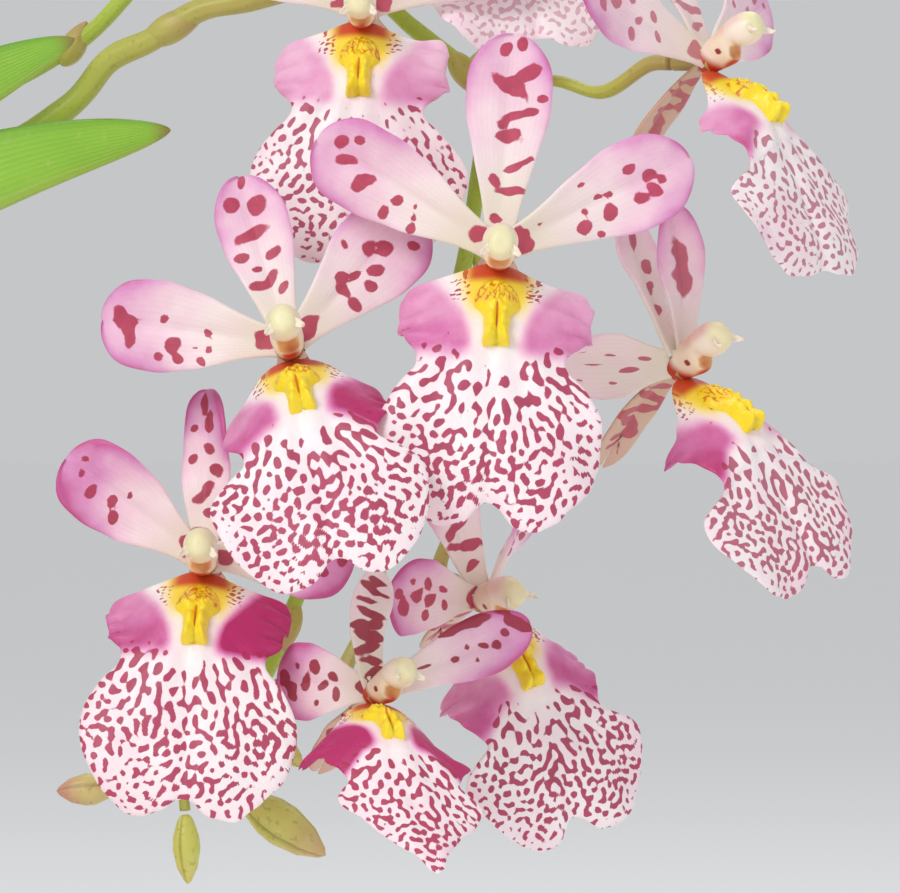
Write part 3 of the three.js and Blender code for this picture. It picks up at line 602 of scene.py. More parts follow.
def blade(piece, organ, seed, marks, flush, rich, strength=1.0, warm=0.0, rows=72, columns=28):
    """A petal or sepal with fine rims. Its back is coarser and its blotches show through it faintly."""
    wobble = ripples(seed)
    for side, across in ((1, columns), (-1, 12)):
        s = np.sin(np.linspace(0, 1, rows + 1) * pi / 2)[:, None] * np.ones(across + 1)
        t = np.sin(np.linspace(-1, 1, across + 1) * pi / 2) * np.ones((rows + 1, 1))
        middle = blade_points(organ, s, t)
        faces = grid_faces(rows, across)
        normal = normals_of(middle.reshape(-1, 3), [faces]).reshape(middle.shape)
        thick = BLADE / 2 * np.sqrt(np.clip((1 - np.abs(t) ** 10) * (1 - s**30), 0, 1))
        uneven = 0.06 * wobble(middle * 1.5)
        points = middle + normal * (side * thick + uneven)[..., None]
        field = blotch_field(organ, marks, s, t, wobble)
        tip = rise(s, 0.3, 1.0)
        margin = np.abs(t) ** 4 * rise(s, 0.25, 0.7)
        piece.add(
            points, [faces if side > 0 else faces[:, ::-1]], PETAL,
            across=t, spot=field, strength=strength * (1 if side > 0 else 0.4),
            flush=flush * (0.2 + 0.6 * tip + 0.45 * margin) + 0.06 * wobble(middle * 0.7),
            green=0.32 * (1 - rise(s, 0.1, 0.42)), rich=rich, warm=warm * (1 if side > 0 else 1.3),
        )


# Lip: its right half's edge, across and down it, before a bloom's own changes
LIP_OUTLINE = [
    [0.9, -0.3], [2.3, 0.2], [4.2, 0.6], [5.9, 0.8], [6.4, 1.8], [6.3, 3.6], [6.1, 5.5], [5.3, 6.8],
    [5.0, 8.0], [6.1, 9.3], [7.2, 11.2], [7.4, 13.0], [6.8, 15.2], [5.4, 17.2], [3.6, 18.6], [1.8, 18.5],
    [0.5, 17.3],
]
LIP_CENTRE = 8
LIP_HALF = 7.5
LIP_REACH = 11
LIP_END = 19
LIP_AROUND = 280
CALLUS_TOP = 1.0
CALLUS_LENGTH = 6.1
CALLUS_HALF = 1.9
CALLUS_HEIGHT = 1.3
CALLUS_WARTS = 34

# The spot pattern covers the lip in cells of this size, from its lower left corner.
CELL = 0.05
CELLS_ACROSS = 360
CELLS_DOWN = 440
PATTERN_LEFT = -9
PATTERN_TOP = -2
SPOT_SMALL = 0.125
SPOT_LARGE = 0.22
SPOT_STRETCH = 1.9
SPOT_WAYS = (-80, -40, 0, 40, 80)
SPOT_WAY_STEP = 40
SHARPENINGS = 3


def lip_outline(lip, around, wobble):
    """Points round the lip's edge, across and down it, with ruffled side lobes."""
    a, b = np.array(LIP_OUTLINE, float).T
    b = b + (LIP_END - b) * (1 - lip["cleft"]) * (1 - rise(a, 0.4, 3.4)) * rise(b, 16, 17)
    b = b + lip["drop"] * rise(a, 2, 5) * (1 - rise(b, 7, 13))
    skirt = lip["skirt"] * (1 - lip["point"] * rise(b, 10, 19))
    a = a * mix(lip["shoulders"], skirt, rise(b, 8, 11))
    right = np.stack([a * lip["right"], b], -1)
    left = np.stack([-a * lip["left"], b], -1)[::-1]
    edge = spline(np.concatenate([right, left]), closed=True, tension=0.5, count=around)
    out = edge - [0, LIP_CENTRE]
    reach = np.linalg.norm(out, axis=1)
    lobes = 1 - rise(edge[:, 1], 7, 9)
    ragged = wobble(np.column_stack([edge * 3.1, 0 * reach])) * mix(0.08, 0.2, lobes)
    ragged = ragged + wobble(np.column_stack([edge * 1.3, 0 * reach])) * mix(0.12, 0.2, lobes)
    return edge + out / reach[:, None] * (ragged * rise(edge[:, 1], 0.5, 3))[:, None]


def lip_points(lip, a, b, lift=0.0, wobble=None):
    """Points of the lip in the bloom's frame, from places across and down it."""
    steps = 16

    def lean_at(down):
        shelf = lip["shelf"] * (1 - rise(down, 2.5, 8))
        return np.radians(lip["lean"] + shelf - lip["curl"] * rise(down, 13, 20))

    y = np.zeros_like(b)
    z = np.zeros_like(b) + lip["root"][2]
    for k in range(steps):
        lean = lean_at(b * (k + 0.5) / steps)
        y = y - np.sin(lean) * b / steps
        z = z - np.cos(lean) * b / steps
    lean = lean_at(b)
    droop = mix(lip["droop"], lip["arch"], rise(b, 4, 10)) * a * a
    fold = lip["fold"] * np.sqrt(a * a + 0.04) * rise(b, 6, 11)
    edge = np.hypot(a / LIP_HALF, (b - LIP_CENTRE) / LIP_REACH)
    turn = np.arctan2(a, b - LIP_CENTRE)
    wave = lip["wave"] * np.sin(6 * turn) * edge**4
    up = lift - droop - fold + wave
    if wobble is not None:
        ring = np.stack([np.cos(turn) * 9, np.sin(turn) * 9, edge * 1.5], -1)
        side = (1 - rise(b, 6.5, 8.5)) * rise(np.abs(a), 3, 5)
        ruffle = 0.3 * wobble(ring) * rise(edge, 0.6, 1.05) ** 1.6
        pleat = 0.34 * side * rise(np.abs(a), 3.4, 6.4) * np.sin(3.6 * b + 0.9 * wobble(ring * 0.4))
        ruffle = ruffle + pleat
        spread = np.arctan2(a, np.maximum(b - 3, 0.3))
        flute = 0.1 * np.sin(16 * spread) * rise(b, 5, 8) * (1 - rise(b, 9, 14))
        seam = -0.28 * np.exp(-((a / 0.6) ** 2)) * rise(b, 8, 12)
        up = up + ruffle + flute + seam + 0.1 * wobble(plane(a, b) * 1.2)
    y = y - np.cos(lean) * up
    swing = radians(lip["swing"])
    x = a + lip["slant"] * np.maximum(b - 3, 0)
    x, y = x * cos(swing) - y * sin(swing), x * sin(swing) + y * cos(swing)
    return np.stack([x + lip["root"][0], y + lip["root"][1], z + np.sin(lean) * up], -1)


def mosaic(seed):
    """A pattern of worms and spots over the lip, above 0 inside them, drawn out away from the throat.
    Random noise is sharpened a few times over, as spots form on a petal."""
    rng = np.random.default_rng(seed)
    down = np.fft.fftfreq(CELLS_DOWN, CELL)[:, None] * 2 * pi
    across = np.fft.rfftfreq(CELLS_ACROSS, CELL)[None, :] * 2 * pi
    b = (PATTERN_TOP + np.arange(CELLS_DOWN) * CELL)[:, None]
    a = (PATTERN_LEFT + np.arange(CELLS_ACROSS) * CELL)[None, :]
    way = np.degrees(np.arctan2(a, np.maximum(b - 2.5, 0.5)))
    near = 1 - rise(np.hypot(a, b - 6), 3.0, 9.5)
    even = across**2 + down**2

    def kernel_of(reach):
        return np.exp(-0.5 * SPOT_SMALL**2 * reach) - np.exp(-0.5 * SPOT_LARGE**2 * reach)

    kernels = []
    for turn in SPOT_WAYS:
        x = across * cos(radians(turn)) - down * sin(radians(turn))
        y = across * sin(radians(turn)) + down * cos(radians(turn))
        share = near * np.clip(1 - np.abs(way - turn) / SPOT_WAY_STEP, 0, 1)
        kernels.append((kernel_of(x**2 + (SPOT_STRETCH * y) ** 2), share))
    rest = 1 - sum(share for _, share in kernels)
    kernels.append((kernel_of(even), rest))
    field = rng.normal(size=(CELLS_DOWN, CELLS_ACROSS))
    for _ in range(SHARPENINGS):
        spectrum = np.fft.rfft2(field)
        grown = sum(share * np.fft.irfft2(spectrum * kernel, s=field.shape) for kernel, share in kernels)
        field = np.clip(6 * grown - 0.4, -1, 1)
    slow = np.fft.irfft2(np.fft.rfft2(rng.normal(size=field.shape)) * np.exp(-0.06 * even), s=field.shape)
    soft = np.fft.irfft2(np.fft.rfft2(field) * np.exp(-0.002 * even), s=field.shape)
    return soft + 0.2 * slow / slow.std()


def look_up(field, a, b):
    """The pattern's value at places on the lip, evened out between its cells."""
    x = np.clip((a - PATTERN_LEFT) / CELL, 0, CELLS_ACROSS - 1.001)
    y = np.clip((b - PATTERN_TOP) / CELL, 0, CELLS_DOWN - 1.001)
    i, j = x.astype(int), y.astype(int)
    u, v = x - i, y - j
    top = mix(field[j, i], field[j, i + 1], u)
    return mix(top, mix(field[j + 1, i], field[j + 1, i + 1], u), v)


def lip(piece, shape, seed, look):
    """The whole lip, with its spots on both faces."""
    wobble = ripples(seed)
    pattern = mosaic(seed)
    around = LIP_AROUND
    edge = lip_outline(shape, around, wobble)
    for side, rings in ((1, 54), (-1, 26)):
        share = (np.arange(1, rings + 1) / rings) ** 0.9
        a = np.concatenate([[0.0], np.outer(share, edge[:, 0]).ravel()])
        b = np.concatenate([[LIP_CENTRE], (LIP_CENTRE + np.outer(share, edge[:, 1] - LIP_CENTRE)).ravel()])
        rim = np.concatenate([[0.0], np.repeat(share, around)])
        middle = lip_points(shape, a, b, 0.0, wobble)
        faces = [fan_faces(0, 1, around), ring_faces(rings, around, 1)]
        normal = normals_of(middle, faces)
        thick = BLADE / 2 * np.sqrt(np.clip(1 - rim**14, 0, 1))
        points = middle + normal * (side * thick)[:, None]
        if side < 0:
            faces = [group[:, ::-1] for group in faces]
        width = np.abs(a)
        lobes = np.where(a > 0, look["right"], look["left"])
        down = b - shape["drop"] * rise(width, 2, 5)
        flush = lobes * rise(width + 0.5 * down, 3.4, 5.0) * rise(width, 0.9, 2.3)
        flush = flush * (1 - rise(down, 6.4, 8.2))
        flush = flush + 0.1 * rise(b, 6, 9) + 0.06 * rise(rim, 0.8, 1) * rise(b, 7, 9)
        flush = flush + 0.07 * wobble(plane(a, b) * 0.6)
        flush = flush + 0.16 * lobes * rise(down, 3.5, 6) * (1 - rise(down, 6.6, 8))
        warm = (1 - rise(width, 1.5, 3.6 - 0.3 * b)) * (1 - rise(b, 3.0, 5.4))
        dashes = rise(width, 1.5, 2.0) * (1 - rise(width, 2.7, 3.3)) * (1 - rise(b, 2.6, 3.8))
        dense = rise(down + 0.3 * width, 7.0, 8.6) * rise(down, 4.4, 6.8)
        spot = look_up(pattern, a, b) + look["cover"] - 1.5 * (1 - dense) - 0.3 * rise(rim, 0.8, 0.96)
        spot = spot - 1.1 * np.exp(-((a / 0.5) ** 2)) * (1 - rise(b, 8.6, 10.6))
        spot = spot - 1.1 * np.exp(-(((width - 1.2) / 0.45) ** 2)) * (1 - rise(b, 7.6, 10.0))
        spot = np.maximum(spot, look_up(pattern, 1.9 * a, 1.9 * b - 4) + 0.1 - 1.5 * (1 - dashes))
        piece.add(
            points, faces, LIP_SKIN, spot=np.clip(spot, -1, 1),
            strength=look["strength"] * (1 if side > 0 else 0.5), flush=np.clip(flush, 0, 1.2),
            warm=warm * (1 if side > 0 else 0.4), rich=look["rich"],
            green=(1 - rise(b, 0.9, 1.8)) * (1 - rise(width, 1.4, 2.4)),
        )
    callus(piece, shape, pattern, np.random.default_rng(seed + 500))


def callus(piece, shape, pattern, rng, around=60, rings=28):
    """The warty crest on the lip's base: a broad upper part, then two blunt lobes side by side."""
    share = (np.arange(1, rings + 1) / rings)[:, None]
    turn = (2 * pi * np.arange(around) / around)[None, :]
    low = np.cos(turn)
    wide = np.sign(np.sin(turn)) * np.abs(np.sin(turn)) ** mix(1, 0.45, low > 0)
    waist = mix(0.84, 0.5, rise(low * share, -0.1, 0.2)) + 0.14 * rise(low * share, 0.55, 0.85)
    a = CALLUS_HALF * share * wide * waist
    middle = CALLUS_TOP + CALLUS_LENGTH / 2
    b = middle + CALLUS_LENGTH / 2 * share * low * mix(1, 0.9, rise(low, 0.9, 1))
    high = CALLUS_HEIGHT * np.sqrt(np.clip(1 - share**2.6, 0, 1)) * (1 + 0.45 * low * share) - 0.12
    a = np.concatenate([[0.0], a.ravel()])
    b = np.concatenate([[middle], b.ravel()])
    high = np.concatenate([[CALLUS_HEIGHT - 0.12], high.ravel()])
    inner = rise(high, 0.15, 0.8)
    warts = [(-0.6, 6.2, 0.5, 0.7), (0.6, 6.2, 0.5, 0.7), (-0.55, 5.1, 0.36, 0.35), (0.55, 5.1, 0.36, 0.35)]
    for _ in range(CALLUS_WARTS):
        size = rng.uniform(0.18, 0.34)
        warts.append((rng.uniform(-1.5, 1.5), rng.uniform(0.7, 4.6), size, rng.uniform(0.12, 0.36)))
    bump = np.zeros_like(a)
    for x, y, size, tall in warts:
        bump = np.maximum(bump, tall * np.exp(-(((a - x) ** 2 + (b - y) ** 2) / size**2) ** 1.3))
    groove = 0.4 * np.exp(-((a / 0.14) ** 2)) * rise(b, 3.8, 5.0)
    points = lip_points(shape, a, b, high + (bump - 0.18 - groove) * inner)
    upper = 1 - rise(b, 3.6, 4.6)
    curl = look_up(pattern, a * 1.5, b * 1.5 + 6)
    spot = 0.5 - np.abs(curl + 0.1) - 1.3 * (1 - upper) - 0.15 * rise(bump, 0.1, 0.35)
    spot = np.maximum(spot, np.exp(-((a / 0.1) ** 2)) * rise(b, 3.9, 4.4) * (1 - rise(b, 5.4, 6.0)) - 0.45)
    piece.add(
        points, [fan_faces(0, 1, around, flip=True), ring_faces(rings, around, 1, flip=True)], CALLUS,
        spot=spot, strength=0.8, flush=0.22 * (1 - rise(bump, 0.03, 0.25)) * upper,
    )


# Column, as it runs out: run, top, underside and half width, drawn for a column of this length
FORM_LENGTH = 5.7
TOOTH_RUN = 4.75
COLUMN_FORM = [
    (-0.5, 1.0, -0.95, 0.95), (0.3, 1.14, -1.08, 1.0), (1.1, 1.28, -1.25, 1.06), (1.9, 1.4, -1.4, 1.1),
    (2.25, 1.44, -1.34, 1.1), (2.5, 1.47, -1.05, 1.07), (2.7, 1.49, -0.66, 1.05), (2.95, 1.52, -0.52, 1.08),
    (3.3, 1.56, -0.78, 1.16), (4.0, 1.54, -0.96, 1.16), (4.7, 1.36, -0.92, 1.0), (5.2, 1.05, -0.7, 0.76),
    (5.45, 0.7, -0.4, 0.45), (5.52, 0.18, 0.14, 0.02),
]


def column(piece, seed, look, around=44, rings=64):
    """The column: a body that swells below, a hollow stigma behind the cream cap, and two teeth."""
    rise_by = radians(COLUMN_RISE)
    axis = np.array([0, -cos(rise_by), sin(rise_by)])
    up = np.array([0, sin(rise_by), cos(rise_by)])
    side = np.array([1.0, 0, 0])
    scale = COLUMN_LENGTH / FORM_LENGTH
    wobble = ripples(seed, 6, 1.5, 3)
    turn = (2 * pi * np.arange(around) / around)[None, :]
    run, top, low, half = (row[:, None] for row in spline(COLUMN_FORM, count=rings).T)
    x = half * np.cos(turn)
    y = (top + low) / 2 + (top - low) / 2 * np.sin(turn)
    run = run + 0 * x
    front = rise(run, 2.2, 2.4) * (1 - rise(run, 2.95, 3.2))
    front = front * (1 - rise(y, -0.5, -0.3)) * (1 - rise(np.abs(x), 0.6, 0.85))
    hollow = front * np.exp(-((x / 0.5) ** 2) - ((y + 0.85) / 0.35) ** 2)
    points = axis * (run * scale - 0.45 * hollow)[..., None] + side * x[..., None] + up * y[..., None]
    points = points + 0.05 * wobble(points * 1.4)[..., None] * axis
    dots = 1 - np.hypot((run - 1.75) / 0.3, (y + 0.3) / 0.26)
    belly = (1 - rise(y, -1.35, -1.1)) * (1 - rise(run, 2.4, 2.7))
    red = np.maximum(1 - rise(run + 0.5 * y, 0.0, 0.9), belly)
    # Red at the stigma's lower edge is its own colour. The 0.35 share of red deep in the hollow is painted
    # shade in the recess.
    red = np.maximum(red, front * np.maximum(1 - rise(y, -1.3, -1.05), 0.35 * hollow))
    red = red - 0.25 * front * wobble(points * 2.6)
    peach = 0.25 * rise(run, 0.4, 1.2) * (1 - rise(run, 2.7, 3.0)) * (1 - front)
    stigma = front * rise(y, -1.4, -1.1) + peach
    blush = look["blush"] * rise(y, 0.3, 1.0) * rise(run, 1.0, 2.4) * (1 - rise(run, 4.2, 5.0))
    piece.add(
        points, [ring_faces(rings, around)], COLUMN, spot=np.clip(dots, 0, 1), flush=np.clip(blush, 0, 1),
        warm=np.clip(stigma, 0, 1), rich=np.clip(red, 0, 1), green=0.6 * rise(run, 4.2, 5.2),
    )
    for way in (-1, 1):
        tooth = {
            **ORGAN, "angle": way * 118, "length": 1.25, "claw": 0.42, "half": 0.34, "peak": 0.3, "lean": 58,
            "bend": 10, "cup": 0.5, "wave": 0.1, "waves": 5,
            "root": list(axis * TOOTH_RUN * scale - up * 0.1 + side * way * 0.7),
        }
        s = np.linspace(0, 1, 17)[:, None] * np.ones(9)
        t = np.linspace(-1, 1, 9) * np.ones((17, 1))
        middle = blade_points(tooth, s, t * (1 - 0.6 * s))
        faces = grid_faces(16, 8)
        normal = normals_of(middle.reshape(-1, 3), [faces]).reshape(middle.shape)
        thick = (0.15 * np.sqrt(1 - t**4) * (1 - 0.7 * s))[..., None]
        for face in (1, -1):
            piece.add(middle + face * thick * normal, [faces if face > 0 else faces[:, ::-1]], COLUMN)


# What a petal or sepal has unless its own entry says otherwise. angle is its way in the bloom's face,
# clockwise from up. lean tips it out of the face, bend adds to that along it, and side bends it sideways.
# turn and twist roll it about its own middle line, and claw and half are its half widths.
ORGAN = {
    "root": [0, 0, 0], "angle": 0, "length": PETAL_LENGTH, "claw": 1, "half": 3.1, "peak": 0.7, "notch": 0,
    "lean": -14, "bend": 8, "side": 0, "turn": 0, "twist": 0, "cup": 0.1, "wave": 0.3, "waves": 3,
    "tint": 1,
}
ORGANS = {
    "dorsal": {**ORGAN, "root": [0, 0.2, 0.6], "half": 2.8, "length": SEPAL_LENGTH, "lean": -22, "bend": 10},
    "left_petal": {**ORGAN, "angle": -65, "root": [-0.4, 0.1, 0.3]},
    "right_petal": {**ORGAN, "angle": 65, "root": [0.4, 0.1, 0.3]},
    "synsepal": {
        **ORGAN, "angle": 180, "root": [0, 0.5, -0.2], "length": 10, "claw": 0.9, "half": 1.9, "peak": 0.6,
        "notch": 0.3, "lean": -58, "bend": 20, "wave": 0.1,
    },
}

# The lip leans out by lean, and by shelf more at its base, and its end curls back. droop and arch lower
# its sides, fold creases it down the middle, and point narrows the middle lobe to a tip.
LIP = {
    "root": [0, -0.4, -1.0], "lean": 28, "shelf": 38, "curl": 14, "droop": 0.09, "arch": 0.012, "fold": 0.02,
    "wave": 0.35, "left": 1, "right": 1, "shoulders": 1, "skirt": 1, "point": 0, "cleft": 1,
    "swing": 0, "slant": 0, "drop": 0,
}

# How a bloom is coloured unless it says otherwise: how strong its spots are, how deep their colour and
# the petals' flush, how magenta the lip's left and right side lobes, the column's blush, and how much of
# the lip its spots cover
LOOK = {
    "strength": 0.95, "rich": 0.15, "flush": 0.75, "left": 0.55, "right": 0.6, "blush": 0.2, "cover": 0.2,
}

BASE_MARK = (0.085, 0.1, 0.85, 0.75, 0)
BANDS = [
    (0.17, -0.1, 1.0, 0.35, 10), (0.3, 0.05, 1.5, 0.42, -12), (0.43, -0.1, 1.7, 0.5, 14),
    (0.56, 0.15, 1.5, 0.5, -20), (0.68, -0.25, 1.1, 0.55, 18), (0.72, 0.5, 0.6, 0.4, 0),
    (0.83, 0.1, 0.9, 0.5, -30), (0.92, -0.2, 0.5, 0.35, 20),
]
SCATTER = [
    BASE_MARK, (0.36, -0.3, 0.5, 0.3, 20), (0.42, 0.3, 0.45, 0.3, 60), (0.5, -0.05, 0.6, 0.4, -30),
    (0.55, -0.55, 0.4, 0.3, 0), (0.6, 0.4, 0.55, 0.35, 30), (0.7, 0.0, 0.7, 0.5, -15),
    (0.78, 0.4, 0.45, 0.35, 40), (0.82, -0.3, 0.8, 0.5, 10), (0.91, 0.1, 0.5, 0.35, -10),
]
